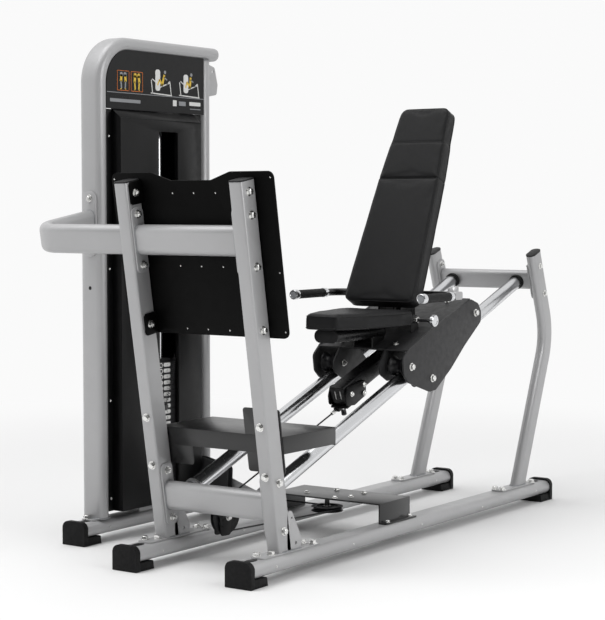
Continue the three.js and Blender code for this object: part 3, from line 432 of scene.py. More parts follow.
def rail(name, x, y0, y1):
    g = sweep(stadium(100, 50, 16), [(Vector((x, y0, 53)), Y_AX), (Vector((x, y1, 53)), Y_AX)], X_AX)
    return g
for nm, x, y0, y1 in (("left_base_rail", -RAIL_X, 12, 2083), ("right_base_rail", RAIL_X, 12, 2083), ("tower_base_rail", TOWER_X, 243, 1098)):
    g = rail(nm, x, y0, y1)
    if x == TOWER_X:
        g.join(box(x - 30, x + 30, 560, 750, 76, 96))
        for yy in (595, 715):
            g.join(lathe([(24, 0), (24, 40), (22, 44), (13.5, 45)], 40, 1), Matrix.Translation((x, yy, 96)))
    # end plugs and the round hole plugs on top
    for yy, s in ((y0 + 16, 1), (y1 - 16, -1)):
        g.join(lathe([(0, 2.6), (15, 2.4), (19, 1.2), (20, 0)], 36, 1), Matrix.Translation((x, yy + s * 42, 77.6)) @ Matrix.Diagonal((0.82, 1.5, 1, 1)))
    obj("v_" + nm, g, [SILVER, CAPM], FRAME_M, (nm,), bevel=1.2, angle=50)
    # self-tapping screws along the outer side
    for yy in np.linspace(y0 + 130, y1 - 130, 5 if y1 - y0 > 1500 else 2):
        bolt(FRAME_M, (x + 50, yy, 53), (1, 0, 0), 7, 3, 0, kind="dome")

FOOT = rounded([(-52, 0, 2), (52, 0, 2), (52, 86, 26), (-52, 86, 26)], 10)
for nm, x, y, s in (("foot_left_front", -RAIL_X, 0, 1), ("foot_left_rear", -RAIL_X, RAIL_LEN, -1), ("foot_right_front", RAIL_X, 0, 1),
                    ("foot_right_rear", RAIL_X, RAIL_LEN, -1), ("foot_tower_front", TOWER_X, TOWER_Y0, 1), ("foot_tower_rear", TOWER_X, TOWER_Y1, -1)):
    g = prism(shift(FOOT, x, 0), y, y + s * 22, "XZ")
    g.join(prism(rounded([(x - 50, 0, 1), (x + 50, 0, 1), (x + 46, 27.4, 3), (x - 46, 27.4, 3)], 4), y + s * 21, y + s * 95, "XZ"))
    for k in range(5):
        g.join(box(x - 50.5, x + 50.5, *sorted((y + s * (30 + k * 13), y + s * (34 + k * 13))), 3, 8))
    obj("v_" + nm, g, RUBBER, FRAME_M, (nm,), bevel=4.0, segs=4, angle=40)

def plate_bolts(pts, z, body=FRAME_M):
    for x, y in pts:
        bolt(body, (x, y, z), (0, 0, 1), 19, 11, 30)

def base_plate(x0, x1, y0, y1, z0=78, z1=83, r=10):
    return prism(rrect(x1 - x0, y1 - y0, r, cx=(x0 + x1) / 2, cy=(y0 + y1) / 2), z0, z1)

# ------------------------------------------------------------------ tower
fr = sweep(stadium(100, 50, 16), route([(TOWER_X, 355, 82), (TOWER_X, 355, 1787), (TOWER_X, 1018, 1787)], 145, 26), X_AX)
end = [(Vector((TOWER_X, y, 1787)), Y_AX) for y in (1018, 1023, 1026.5, 1029, 1030)]
fr.join(sweep(stadium(100, 50, 16), end, X_AX, scale=[1, 0.985, 0.955, 0.91, 0.84]))
fr.join(base_plate(TOWER_X - 30, TOWER_X + 30, 305, 405))
fr.join(lathe([(0, 1.4), (6.5, 1.2), (7, 0)], 24, 1), to_dir((TOWER_X, 330.2, 913), (0, -1, 0)))
obj("v_tower_front_frame", fr, [SILVER, CAPM], FRAME_M, ("tower_front_frame",), bevel=1.0, angle=60)
weld(FRAME_M, [(TOWER_X + x, 355 + y, 84) for x, y in stadium(102, 52, 10)], 2.6, closed=True)
plate_bolts([(TOWER_X - 12, 318), (TOWER_X + 12, 392)], 83)
rp = sweep(stadium(100, 50, 16), [(Vector((TOWER_X, 955, 82)), Vector((0, 0, 1))), (Vector((TOWER_X, 955, 1761.7)), Vector((0, 0, 1)))], X_AX)
rp.join(base_plate(TOWER_X - 30, TOWER_X + 30, 927, 1010))
rp.join(prism(soft([(975, 1760), (1023, 1757), (1074, 1744), (1093, 1678), (1086, 1639), (1022, 1628), (975, 1628)], 12), -683, -677, "YZ",
              [circle(6, 20, 1062, 1728), circle(5, 20, 1034, 1700)]))
obj("v_tower_rear_post", rp, SILVER, FRAME_M, ("tower_rear_post",), bevel=1.0, angle=60)
weld(FRAME_M, [(TOWER_X + x, 955 + y, 84) for x, y in stadium(102, 52, 10)], 2.6, closed=True)
weld(FRAME_M, [(TOWER_X + x, 955 + y, 1761) for x, y in stadium(102, 52, 10)], 2.4, closed=True)
weld(FRAME_M, [(-676, 979.5, z) for z in (1632, 1756)], 2.2)
plate_bolts([(TOWER_X - 14, 990), (TOWER_X + 14, 990)], 83)

car = Geo()
cheek = soft([(667, 1668), (720, 1660), (842, 1660), (895, 1668), (895, 1761.7), (667, 1761.7)], 10)
for x0, x1 in ((-685, -681), (-655, -651)):
    car.join(prism(cheek, x0, x1, "YZ"))
car.join(box(-698, -638, 381, 929, 1618, 1624))
obj("v_top_pulley_carrier", car, SILVER, FRAME_M, ("top_pulley_carrier",), bevel=1.0)
for y in (707, 855):
    bolt(FRAME_M, (-651, y, 1690), (1, 0, 0), 16, 8, 24)
    bolt(FRAME_M, (-685, y, 1690), (-1, 0, 0), 16, 8, 24, kind="nut")

# ------------------------------------------------------------------ front posts
def cut_start(g, n, z):
    """drops the first ring of n points onto the world plane z, in the leaning frame"""
    for i in range(n):
        x, y, _ = g.v[i]
        g.v[i] = (x, y, (z - 83 - y * math.sin(math.radians(POST_LEAN))) / math.cos(math.radians(POST_LEAN)))
TAB = soft([(236, 84), (318, 84), (318, 116), (262, 214), (236, 214)], 14)
POST_SEC = rrect(50, 73, 7, 6)
for nm, cx in (("front_post_left", -RAIL_X), ("front_post_right", RAIL_X)):
    g = sweep(POST_SEC, [(Vector((cx, -36.5, 0)), Vector((0, 0, 1))), (Vector((cx, -36.5, POST_TOP - 3)), Vector((0, 0, 1)))], X_AX)
    cut_start(g, len(POST_SEC), 82)
    G = Geo().join(g, LEAN)
    G.join(sweep(rrect(51.5, 74.5, 7, 6), [(Vector((cx, -36.5, POST_TOP - 3)), Vector((0, 0, 1))), (Vector((cx, -36.5, POST_TOP + 1)), Vector((0, 0, 1))),
                                         (Vector((cx, -36.5, POST_TOP + 2.5)), Vector((0, 0, 1)))], X_AX, 1, scale=[1, 1, 0.92]), LEAN)
    G.join(base_plate(cx - 28, cx + 28, 100, 425))
    for a in (cx - 25, cx + 19):
        G.join(prism(TAB, a, a + 6, "YZ", [circle(5.5, 20, 285, 105), circle(4, 16, 262, 190)]))
    obj("v_" + nm, G, [SILVER, CAPM], FRAME_M, (nm,), bevel=1.0, angle=50)
    weld(FRAME_M, [(cx + x, 246 + y * 1.0, 84) for x, y in rrect(53, 76, 8, 4)], 2.6, closed=True)
    for a in (cx - 26, cx + 26):
        weld(FRAME_M, [(a, 240, 84.5), (a, 316, 84.5)], 2.0)
    # bolts through the faces
    for z in (499, 335):
        bolt(FRAME_M, (cx, -73, (z - 83 + 73 * math.sin(math.radians(POST_LEAN))) / math.cos(math.radians(POST_LEAN))), (0, -1, 0), 19, 9, 29, LEAN)
    sg = math.copysign(1, cx)
    for z in (77, 240, 745, 950, 1116, 1190):
        bolt(FRAME_M, (cx + sg * 25, -36.5, z), (sg, 0, 0), 19, 10, 29, LEAN)
    for z in (77, 243, 948, 1118):
        bolt(FRAME_M, (sg * 203, -36.5, z), (-sg, 0, 0), 19, 9, 28, LEAN, kind="nut")
    for z in (748, 1188):
        bolt(FRAME_M, (sg * 203.5, -34, z), (-sg, 0, 0), 19, 9, 28, LEAN, kind="nut")
plate_bolts([(220, 120), (246, 165), (218, 385), (250, 397), (-255, 133), (-230, 168), (-274 + 22, 412), (-216, 417)], 83)

# ------------------------------------------------------------------ crossbars and link arm
def xbar(x0, x1, z, frame_):
    return sweep(stadium(50, 100, 16), [(Vector((x0, -36.5, z)), X_AX), (Vector((x1, -36.5, z)), X_AX)], Vector((0, 1, 0)), matrix=frame_)
def endplates(zc, z0, z1, r=20):
    g = Geo()
    for s in (-1, 1):
        o = rrect(58, z1 - z0, r, cx=-36.5, cy=(z0 + z1) / 2)
        g.join(prism(o, s * 203, s * 209, "YZ", matrix=LEAN))
    return g
ub = xbar(-203, 203, 1032.9, LEAN).join(endplates(0, 924, 1142))
obj("v_upper_crossbar", ub, SILVER, FRAME_M, ("upper_crossbar",), bevel=1.0, angle=60)
lb = xbar(-203, 203, 156.3, LEAN).join(endplates(0, 52, 268, 20))
ch = soft([(-125, 40), (-125, 84), (-70, 84), (14, 40), (16, 0), (10, -62), (-34, -62), (-40, 6), (-84, 34)], 9)
PUL_LOW = Matrix.Translation((-66, 330, 152)) @ Matrix.Rotation(math.radians(-9.2), 4, "Z")
for s in (-1, 1):
    a, b = sorted((s * 13, s * 17))
    lb.join(prism(ch, a, b, "YZ", mat=1, matrix=PUL_LOW))
obj("v_lower_crossbar", lb, [SILVER, BLACKT], FRAME_M, ("lower_crossbar",), bevel=0.8, angle=60)
for s in (-1, 1):
    bolt(FRAME_M, (s * 17, 0, 0), (s, 0, 0), 16, 8, 24, PUL_LOW)
    for z0 in (1032.9, 156.3):
        weld(FRAME_M, [(s * 202, -36.5 + y, z0 + z) for y, z in stadium(51, 101, 10)], 2.4, LEAN, True)

arm = sweep(stadium(50, 100, 16), route([(-259.3, -36.5, 1032.9), (TOWER_X + 4, -36.5, 1032.9), (TOWER_X + 4, 236, 1032.9)], 88, 24), Vector((0, 1, 0)))
na = len(stadium(50, 100, 16))
_s, _c = math.sin(math.radians(POST_LEAN)), math.cos(math.radians(POST_LEAN))
for i in range(len(arm.v) - na, len(arm.v)):
    x, y, z = arm.v[i]
    arm.v[i] = (x, (324.5 - 265 + z * _s) / _c, z)
AR = Geo().join(arm, LEAN)
AR.join(prism(rounded([(TOWER_X - 27, 1025, 28), (TOWER_X + 35, 1025, 28), (TOWER_X + 35, 1259, 28), (TOWER_X - 27, 1259, 28)], 10), 324, 329.7, "XZ"))
obj("v_link_arm", AR, SILVER, FRAME_M, ("link_arm",), bevel=1.0, angle=60)
weld(FRAME_M, [arm.v[i] and tuple(LEAN @ Vector(arm.v[i])) for i in range(len(arm.v) - na, len(arm.v))], 2.6, closed=True)
for z in (1049, 1232):
    bolt(FRAME_M, (TOWER_X + 4, 324, z), (0, -1, 0), 16, 8, 27)

# ------------------------------------------------------------------ rear legs, rear crossbar, guide tubes
LEG = stadium(80, 40, 16)
for nm, x in (("rear_leg_left", -RAIL_X), ("rear_leg_right", RAIL_X)):
    pts = [(x, 1864, 31), (x, 2133, 677), (x, 2008.2, 1016)]
    g = sweep([(b, a) for a, b in LEG], route(pts, 250, 26), X_AX)
    n = len(LEG)
    d = (Vector(pts[1]) - Vector(pts[0])).normalized()
    for i in range(n):
        v = Vector(g.v[i]); v = v + d * ((82 - v.z) / d.z); g.v[i] = tuple(v)
    top = (Vector(pts[2]) - Vector(pts[1])).normalized()
    P = Vector(pts[2])
    g.join(sweep([(b * 1.03, a * 1.02) for a, b in LEG], [(P - top * 3, top), (P + top * 3, top), (P + top * 4.2, top)], X_AX, 1, scale=[1, 1, 0.93]))
    g.join(base_plate(x - 28, x + 28, 1712, 1985))
    obj("v_" + nm, g, [SILVER, CAPM], FRAME_M, (nm,), bevel=1.0, angle=60)
    weld(FRAME_M, [tuple(Vector(g.v[i]) + Vector((0, 0, 2))) for i in range(n)], 2.6, closed=True)
plate_bolts([(259 - 10, 1730), (252, 1970), (216, 1730), (216, 1970), (-250, 1730), (-250, 1970), (-218, 1730), (-218, 1970)], 83)

rc = sweep(stadium(40, 80, 16), [(Vector((-209, REAR_S, 0)), X_AX), (Vector((209, REAR_S, 0)), X_AX)], Vector((0, 1, 0)), matrix=SLOPE)
for s in (-1, 1):
    rc.join(prism(rrect(58, 156, 20, cx=REAR_S, cy=0), s * 208, s * 214, "YZ", matrix=SLOPE))
obj("v_rear_crossbar", rc, SILVER, FRAME_M, ("rear_crossbar",), bevel=1.0, angle=60)
for s in (-1, 1):
    for p in (-60, 60):
        bolt(FRAME_M, (s * 254, REAR_S + 2, p), (s, 0, 0), 16, 8, 26, SLOPE)
        bolt(FRAME_M, (s * 208, REAR_S, p), (-s, 0, 0), 16, 8, 24, SLOPE, kind="nut")

for nm, x in (("guide_tube_left", -GUIDE_X), ("guide_tube_right", GUIDE_X)):
    g = sweep(circle(GUIDE_R, 64), [(Vector((x, 20, 0)), Y_AX), (Vector((x, 1946, 0)), Y_AX)], X_AX, matrix=SLOPE)
    for s0, s1 in ((1932, 1945), ):
        g.join(sweep(circle(GUIDE_R + 4, 48), [(Vector((x, s0, 0)), Y_AX), (Vector((x, s1, 0)), Y_AX)], X_AX, 1, matrix=SLOPE))
    g.join(sweep(circle(GUIDE_R + 6, 48), [(Vector((x, 60, 0)), Y_AX), (Vector((x, 72, 0)), Y_AX)], X_AX, 2, matrix=SLOPE))
    obj("v_" + nm, g, [CHROME, RUBBER, SILVER], FRAME_M, (nm,), bevel=0.8, angle=60)

# ------------------------------------------------------------------ footplate, step tray, bridge
fo = rounded([(-330, 711, 22), (330, 711, 22), (330, 1248, 22), (160, 1248, 26), (80, 1221, 30), (-80, 1221, 30), (-160, 1248, 26), (-330, 1248, 22)], 10)
g = prism(fo, 2, 8, "XZ", matrix=LEAN)
for s in (-1, 1):
    for z0, z1 in ((712, 785), (1150, 1226)):
        a, b = sorted((s * 203.5, s * 208.5))
        g.join(prism(soft([(-60, z0), (5, z0), (5, z1), (-60, z1)], 12), a, b, "YZ", matrix=LEAN))
fi = rounded([(-312, 728, 14), (312, 728, 14), (312, 1230, 14), (168, 1230, 26), (88, 1205, 30), (-88, 1205, 30), (-168, 1230, 26), (-312, 1230, 14)], 8)
g.join(prism(fi, 7.6, 9.6, "XZ", mat=1, matrix=LEAN))
obj("v_footplate", g, [BLACKF, TREAD], FRAME_M, ("footplate",), bevel=0.9, angle=40)
for x in (-318, -78, 9, 97, 318):
    for z in ((1228, 925, 733) if abs(x) > 300 else (1180, 940, 730)):
        bolt(FRAME_M, (x, 2, z), (0, -1, 0), 5.5, 1.6, 0, LEAN, kind="dome")

tray = Geo()
W = 262
def strip(pts, x0, x1, t=4, mat=0):
    """folded sheet: open (y, z) line with thickness t, spanning x0..x1"""
    P = [Vector(p) for p in pts]; L_, R_ = [], []
    for i, p in enumerate(P):
        a = (P[i] - P[i - 1]).normalized() if i else (P[1] - P[0]).normalized()
        b = (P[i + 1] - P[i]).normalized() if i < len(P) - 1 else a
        nrm = (Vector((-a.y, a.x)) + Vector((-b.y, b.x))).normalized()
        k = t / 2 / max(0.4, nrm.dot(Vector((-a.y, a.x))))
        L_.append(tuple(p + nrm * k)); R_.append(tuple(p - nrm * k))
    return prism(L_ + R_[::-1], x0, x1, "YZ", mat=mat)
def lean_front_y(z):
    """world Y of the leaning plane y'=0 at height z"""
    return 265 - (z - 83) * math.tan(math.radians(POST_LEAN))
y0t = lean_front_y(461) + 2
tray.join(strip([(lean_front_y(402) + 2, 402), (y0t, 460), (513, 460), (513, 401)], -W, W))
for s in (-1, 1):
    tray.join(prism([(y0t, 460), (513, 460), (513, 404), (lean_front_y(404) + 2, 404)], s * W, s * (W - 4), "YZ"))
    a, b = sorted((s * 115, s * 262))
    top_ = 474 if s > 0 else 381
    tray.join(prism(rounded([(a, 258, 10), (b, 258, 10), (b, top_, 10), (a, top_, 10)], 6), 0.4, 5.2, "XZ", matrix=LEAN))
mat_in = rounded([(-240, 225, 12), (240, 225, 12), (240, 498, 12), (-240, 498, 12)], 6)
obj("v_step_plate", tray, [BLACKG, TREAD], FRAME_M, ("step_plate",), bevel=0.8, angle=40)
for s in (-1, 1):
    for x in (150, 205):
        bolt(FRAME_M, (s * x, 5.2, 300), (0, 1, 0), 14, 6, 20, LEAN)

br = strip([(-262, 81), (-231, 81), (-231, 148), (231, 148), (231, 81), (262, 81)], 841, 1047, 5.6)
br = Geo().add([(y, x, z) for x, y, z in br.v], br.f, 0)
br.join(lathe([(9, 0), (9, 44), (0, 46)], 28), to_dir((0, 855, 146), (0, 0, -1)))
obj("v_bridge_plate", br, BLACKG, FRAME_M, ("bridge_plate",), bevel=0.9, angle=40)
for x, y in ((33, 855), (69, 907), (-60, 1010), (60, 1010), (-120, 900)):
    bolt(FRAME_M, (x, y, 151), (0, 0, 1), 14, 6, 22)
for s in (-1, 1):
    for y in (868, 1020):
        bolt(FRAME_M, (s * 249, y, 84), (0, 0, 1), 13, 6, 20)

# ------------------------------------------------------------------ cable transfer
BPX, BPZ = TOWER_X + SHEAVE_R, 162
lk = prism(rrect(48, 46, 4, 4, 964, 53), TOWER_X + 50.3, -RAIL_X - 50.3, "YZ")
lk.join(prism(soft([(-617, 70), (-617, 202), (-484, 163), (-296, 101), (-296, 70)], 8), 938, 942, "XZ"))
for y in (891, 919):
    lk.join(prism(soft([(-694, 84), (-484, 84), (-478, 216), (-600, 244), (-694, 244)], 16), y, y + 4, "XZ", mat=1))
lk.join(box(-692, -646, 891, 923, 78, 86, 1)).join(box(-500, -480, 891, 942, 84, 92, 1))
obj("v_link_beam", lk, [SILVER, CHARCOAL], FRAME_M, ("link_beam",), bevel=0.8, angle=40)
bolt(FRAME_M, (BPX, 891, BPZ), (0, -1, 0), 17, 8, 26)
bolt(FRAME_M, (-520, 891, 105), (0, -1, 0), 13, 6, 20)
bolt(FRAME_M, (-660, 891, 105), (0, -1, 0), 13, 6, 20)
weld(FRAME_M, [(-612, 937.5, 78), (-300, 937.5, 78)], 2.2)

def sheave(fl, half=9):
    g = lathe([(8.4, -half), (15, -half), (16, -half + 1), (19, -half + 1), (20, -half + 3.2), (36, -half + 3.2), (41, -half), (fl - 0.8, -half), (fl, -half + 1), (fl, -half + 1.9), (SHEAVE_R - 1.2, -3.7),
               (SHEAVE_R - 3.6, 0), (SHEAVE_R - 1.2, 3.7), (fl, half - 1.9), (fl, half - 1), (fl - 0.8, half), (41, half), (36, half - 3.2), (20, half - 3.2), (19, half - 1), (16, half - 1), (15, half), (8.4, half)], 72, closed=True)
    g.join(lathe([(8.2, -half - 0.3), (14, -half - 0.3), (14.6, -half + 0.6), (14.6, half - 0.6), (14, half + 0.3), (8.2, half + 0.3)], 40, 1, closed=True))
    return g
AX = Matrix.Rotation(math.pi / 2, 4, "Y")
for nm, M, body in (("bridge_pulley", Matrix.Translation((0, 855, 112)), "bridge_pulley"),
                    ("lower_pulley", PUL_LOW @ AX, "lower_pulley"),
                    ("base_pulley", Matrix.Translation((BPX, CABLE_Y, BPZ)) @ Matrix.Rotation(math.pi / 2, 4, "X"), "base_pulley"),
                    ("top_pulley_front", Matrix.Translation((TOWER_X, 707, 1690)) @ AX, "top_pulley_front"),
                    ("top_pulley_rear", Matrix.Translation((TOWER_X, 855, 1690)) @ AX, "top_pulley_rear")):
    g = Geo().join(sheave(60 if nm == "lower_pulley" else 58), M)
    for k in range(5):   # round windows show up as raised bosses on the web
        a = 2 * math.pi * k / 5
        for z, s in ((-5.8, -1), (5.8, 1)):
            g.join(lathe([(5.5, 0), (5, 0.9), (0, 1)], 18), M @ Matrix.Translation((28 * math.cos(a), 28 * math.sin(a), z)) @ (Matrix.Rotation(math.pi, 4, "X") if s < 0 else I4))
    obj("v_" + nm, g, [NYLON, BEAR], body, (nm,), smooth=30)

# ------------------------------------------------------------------ shrouds
def shroud(name, face, flip):
    fx = lambda x: (2 * TOWER_X - x) if flip else x
    pr = lambda o, d0, d1, hs=(), m=0: prism(o, fx(d0), fx(d1), "YZ", hs, m)
    g = Geo()
    slot = rounded([(626, 130, 6), (737, 130, 6), (737, 1478, 6), (626, 1478, 6)], 4)
    g.join(pr([(411, 104), (876, 104), (876, 1520), (411, 1520)], -593, -590, () if flip else (slot,)))
    g.join(prism([(fx(x), z) for x, z in ((-590, 1520), (-593, 1518.6), (-636, 1553.4), (-633, 1555))], 411, 876, "XZ"))
    for y in (411, 873):
        g.join(prism([(fx(x), z) for x, z in ((-635.5, 104), (-590.5, 104), (-590.5, 1519.6), (-633, 1554))], y, y + 3, "XZ"))
    notch = [(381, 104), (876, 104), (876, 262), (929, 262), (929, 1552), (381, 1552)]
    hole = [(414, 130), (873, 130), (873, 1530), (414, 1530)]
    g.join(pr(notch, -636, -632.5, (hole,)))
    if not flip:      # return lips round the window
        for y0, y1 in ((736.6, 739),):
            g.join(box(-606, -592, y0, y1, 130, 1478))
    obj("v_" + name, g, [BLACKS], FRAME_M, (name,), bevel=1.1, segs=3, angle=30)
    for z in (150, 505, 980, 1455):
        for y in (396, 902):
            if y == 902 and z < 262: continue
            bolt(FRAME_M, (fx(-632.5), y, z), (-1 if flip else 1, 0, 0), 10, 4, 0, kind="dome")
shroud("front_shroud", -590, False)
shroud("rear_shroud", -746, True)

# sign panel: plain bars and generic diagrams
pg = prism(rounded([(374.4, 1553.4, 2), (935.5, 1553.4, 2), (935.5, 1767.5, 4), (374.4, 1767.5, 123)], 16), -627, -623, "YZ")
def flat(pts, mat, lift=0.5):
    pg.join(prism(pts, -623.2, -623 + lift, "YZ", mat=mat))
def rect(y0, y1, z0, z1, mat, r=2, lift=0.5):
    flat(rrect(y1 - y0, z1 - z0, r, 4, (y0 + y1) / 2, (z0 + z1) / 2), mat, lift)
def frame_rect(y0, y1, z0, z1, mat, w=1.6):
    for a in ((y0, y1, z0, z0 + w), (y0, y1, z1 - w, z1), (y0, y0 + w, z0, z1), (y1 - w, y1, z0, z1)):
        rect(*a, mat, 0.3)
def line(a, b, w, mat):
    a, b = Vector(a), Vector(b); d = (b - a).normalized(); nrm = Vector((-d.y, d.x)) * w / 2
    flat([tuple(a + nrm), tuple(a - nrm), tuple(b - nrm), tuple(b + nrm)], mat, 0.7)
def blob(c, r, mat, k=1.0):
    flat([(c[0] + r * math.cos(t) * k, c[1] + r * math.sin(t)) for t in [2 * math.pi * i / 24 for i in range(24)]], mat, 0.7)
rect(376, 934, 1611, 1613.4, 2, 0.5)
for y, m in ((465, 3), (541, 4)):       # two plain leg outlines in thin frames
    frame_rect(y - 33, y + 33, 1620, 1692, 3)
    for s in (-1, 1):
        blob((y + s * 10, 1678), 8.5, 2 if m == 3 else 4, 0.95); line((y + s * 10, 1678), (y + s * 13, 1652), 12, 4)
        line((y + s * 13, 1656), (y + s * 10, 1628), 7, 2 if m == 3 else 4); line((y + s * 9, 1628), (y + s * 15, 1625), 4, 4)
for y, lift_ in ((680, 0), (846, 9)):   # seated figure on a machine, in simple strokes
    rect(y - 34, y - 6, 1630, 1708 - lift_, 1, 10)
    for a, b, w, m in (((-58, 1668), (-50, 1618), 4, 1), ((-52, 1672), (-34, 1662), 3.5, 1), ((-60, 1620), (62, 1616), 4, 1), ((-30, 1636), (50, 1662), 3.5, 1),
                       ((50, 1668), (58, 1618), 4, 1), ((30, 1654), (50, 1668), 3.5, 1), ((4, 1648), (18 - lift_, 1690), 10, 4), ((6, 1650), (-10 - lift_ * 0.5, 1672), 9, 4),
                       ((-10 - lift_ * 0.5, 1672), (-22, 1650), 6, 4), ((14 - lift_, 1682), (34 - lift_, 1672), 5, 2)):
        line((y + a[0], a[1]), (y + b[0], b[1]), w, m)
    blob((y + 22 - lift_, 1700), 6.5, 2)
rect(392, 560, 1578, 1590, 2, 2, 0.6)
rect(392, 500, 1598, 1601.5, 5, 1, 0.6)
rect(748, 770, 1578, 1600, 1, 2, 0.6)
rect(784, 824, 1581, 1597, 2, 2, 0.6)
rect(846, 914, 1584, 1598, 1, 3, 0.6)
rect(850, 914, 1570, 1573, 2, 1, 0.6)
obj("v_sign_panel", pg, [PANEL, WHITE, GREYP, ORANGE, YELLOW, BLACKS], FRAME_M, ("sign_panel",), smooth=30)

# ------------------------------------------------------------------ weight stack
for nm, y in (("stack_rod_front", 595), ("stack_rod_rear", 715)):
    obj("v_" + nm, sweep(circle(12.5, 48), [(Vector((TOWER_X, y, 110.3)), Vector((0, 0, 1))), (Vector((TOWER_X, y, 1617.7)), Vector((0, 0, 1)))], X_AX), CHROME, FRAME_M, (nm,), bevel=0.6)
def plate_pile(z0, n, holes):
    g = Geo()
    o = soft([(TOWER_X - 58, 465), (TOWER_X + 58, 465), (TOWER_X + 58, 845), (TOWER_X - 58, 845)], 9)
    for i in range(n):
        a = z0 + i * PITCH
        g.join(prism(o, a + 0.5, a + PITCH - 0.6, "XY", holes))
        # number bars and pin hole collar on the face
        zc = a + PITCH / 2
        g.join(lathe([(5.6, 0), (9.5, 0), (9.8, 0.6), (9.5, 1.0), (5.6, 1.0)], 28, 2, closed=True), to_dir((TOWER_X + 58, 655, zc), (1, 0, 0)))
        g.join(prism(rrect(40, 14.5, 6.5, 6, 690, zc), TOWER_X + 57.8, TOWER_X + 58.5, "YZ", mat=1))
        seg = {"0": "abcdef", "1": "bc", "2": "abged", "3": "abgcd", "4": "fgbc", "5": "afgcd", "6": "afgedc", "7": "abc", "8": "abcdefg", "9": "abcdfg"}
        BAR = {"a": (0, 3, 3, .8), "g": (0, 0, 3, .8), "d": (0, -3, 3, .8), "f": (-1.6, 1.5, .8, 3), "b": (1.6, 1.5, .8, 3), "e": (-1.6, -1.5, .8, 3), "c": (1.6, -1.5, .8, 3)}
        num = str(PLATES - (i + (0 if z0 == STACK_Z0 else PLATES - LIFTED)))
        for k, chh in enumerate(num):
            for q in seg[chh]:
                u, v, w, h = BAR[q]
                g.join(prism(rrect(w, h, 0.3, 1, 690 + (k - (len(num) - 1) / 2) * 5.4 + u, zc + v), TOWER_X + 58.4, TOWER_X + 58.8, "YZ", mat=3))
    return g
hs = [circle(13.6, 32, TOWER_X, 595), circle(13.6, 32, TOWER_X, 715)]
obj("v_resting_plates", plate_pile(STACK_Z0, PLATES - LIFTED, hs + [circle(14, 32, TOWER_X, 655)]), [IRON, WHITE, STEEL, BLACKS], FRAME_M, ("resting_plates",), bevel=1.3, segs=2, angle=50)
z1 = STACK_Z0 + (PLATES - LIFTED) * PITCH
zt = STACK_Z0 + PLATES * PITCH
lp = plate_pile(z1, LIFTED, hs)
lp.join(lathe([(0, 150), (11, 150), (12, 151), (12, zt + 38), (10, zt + 42), (8, zt + 42), (8, zt + 62), (6, zt + 64), (0, zt + 64)], 36, 2), Matrix.Translation((TOWER_X, 655, 0)))
lp.join(box(TOWER_X - 30, TOWER_X + 30, 560, 750, zt - 0.4, zt + 9, 4))
lp.join(lathe([(13, 0), (17, 0), (18, 1), (18, 10), (17, 12), (13, 12)], 6, 2, closed=True), Matrix.Translation((TOWER_X, 655, zt + 26)))
obj("v_lifted_plates", lp, [IRON, WHITE, STEEL, BLACKS, CHARCOAL], "stack", ("lifted_plates",), bevel=1.3, segs=2, angle=50)
sp = lathe([(0, -80), (4, -80), (4.8, -77), (4.8, 0), (8, 0), (9, 2), (9, 4), (0, 4)], 28, 1)
sp.join(lathe([(0, 0), (9, 0), (12, 1.5), (13.8, 5), (14, 9), (12.4, 13), (13.4, 18), (12.6, 21.6), (9.5, 22.8), (0, 23)], 40, 0))
obj("v_selector_pin", sp.__class__().join(sp, to_dir((TOWER_X + 61, 655, 461), (1, 0, 0))), [PIN, STEEL], "selector_pin", ("selector_pin",), smooth=40)

# ------------------------------------------------------------------ cables
def cord(name, pts, r, body=None, mat=CABLE, slot="cable_sheath", replaces=(), seg=16):
    P = [Vector(p) for p in pts]
    rings = [(p, ((P[min(i + 1, len(P) - 1)] - P[max(0, i - 1)]).normalized())) for i, p in enumerate(P)]
    t = rings[0][1]
    ad = Vector((1, 0, 0)) if abs(t.x) < 0.8 else Vector((0, 1, 0))
    return obj(name, sweep(circle(r, seg), rings, ad), mat, body, replaces, smooth=60)

def arc(c, u, v, r, a0, a1, n):
    c, u, v, out = Vector(c), Vector(u), Vector(v), []
    sg = 1 if a1 > a0 else -1
    for i in range(n + 1):
        a = math.radians(a0 + (a1 - a0) * i / n)
        out.append((c + u * (r * math.cos(a)) + v * (r * math.sin(a)), (u * (-math.sin(a) * sg) + v * (math.cos(a) * sg)).normalized()))
    return out
X_, Y_, Z_ = Vector((1, 0, 0)), Vector((0, 1, 0)), Vector((0, 0, 1))
lx, ly = Matrix.Rotation(math.radians(-9.2), 3, "Z") @ X_, Matrix.Rotation(math.radians(-9.2), 3, "Z") @ Y_
pth = arc((TOWER_X, 707, 1690), Y_, Z_, 52, 180, 90, 16) + arc((TOWER_X, 855, 1690), Y_, Z_, 52, 90, 0, 16) \
    + arc((BPX, CABLE_Y, BPZ), X_, Z_, 52, 180, 270, 16) + arc((0, 855, 112), X_, Y_, 52, 90, -12.5, 18)
low = arc((-66, 330, 152), ly, Z_, 52, 268, 113.6, 24)
obj("v_tower_cable", sweep(circle(3, 16), pth + low, X_), CABLE, FRAME_M, ("tower_cable",), smooth=60)
exit_ = low[-1][0]
sc_ = sweep(circle(3, 16), [(Vector((TOWER_X, 655, 690.3)), Z_), (Vector((TOWER_X, 655, 1689.7)), Z_)], X_)
o = obj("v_stack_cable", sc_, CABLE, FRAME_M, ("stack_cable",), smooth=60)
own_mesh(o)
tow_pt = SLOPE @ Vector((-2, 743, -27))
d_ = (tow_pt - exit_).normalized()
pc = sweep(circle(3, 16), [(exit_ + d_ * 0.3, d_), (tow_pt, d_)], X_)
me_ = obj("v_press_cable", pc, CABLE, None, ("press_cable",), smooth=60)
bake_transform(me_)

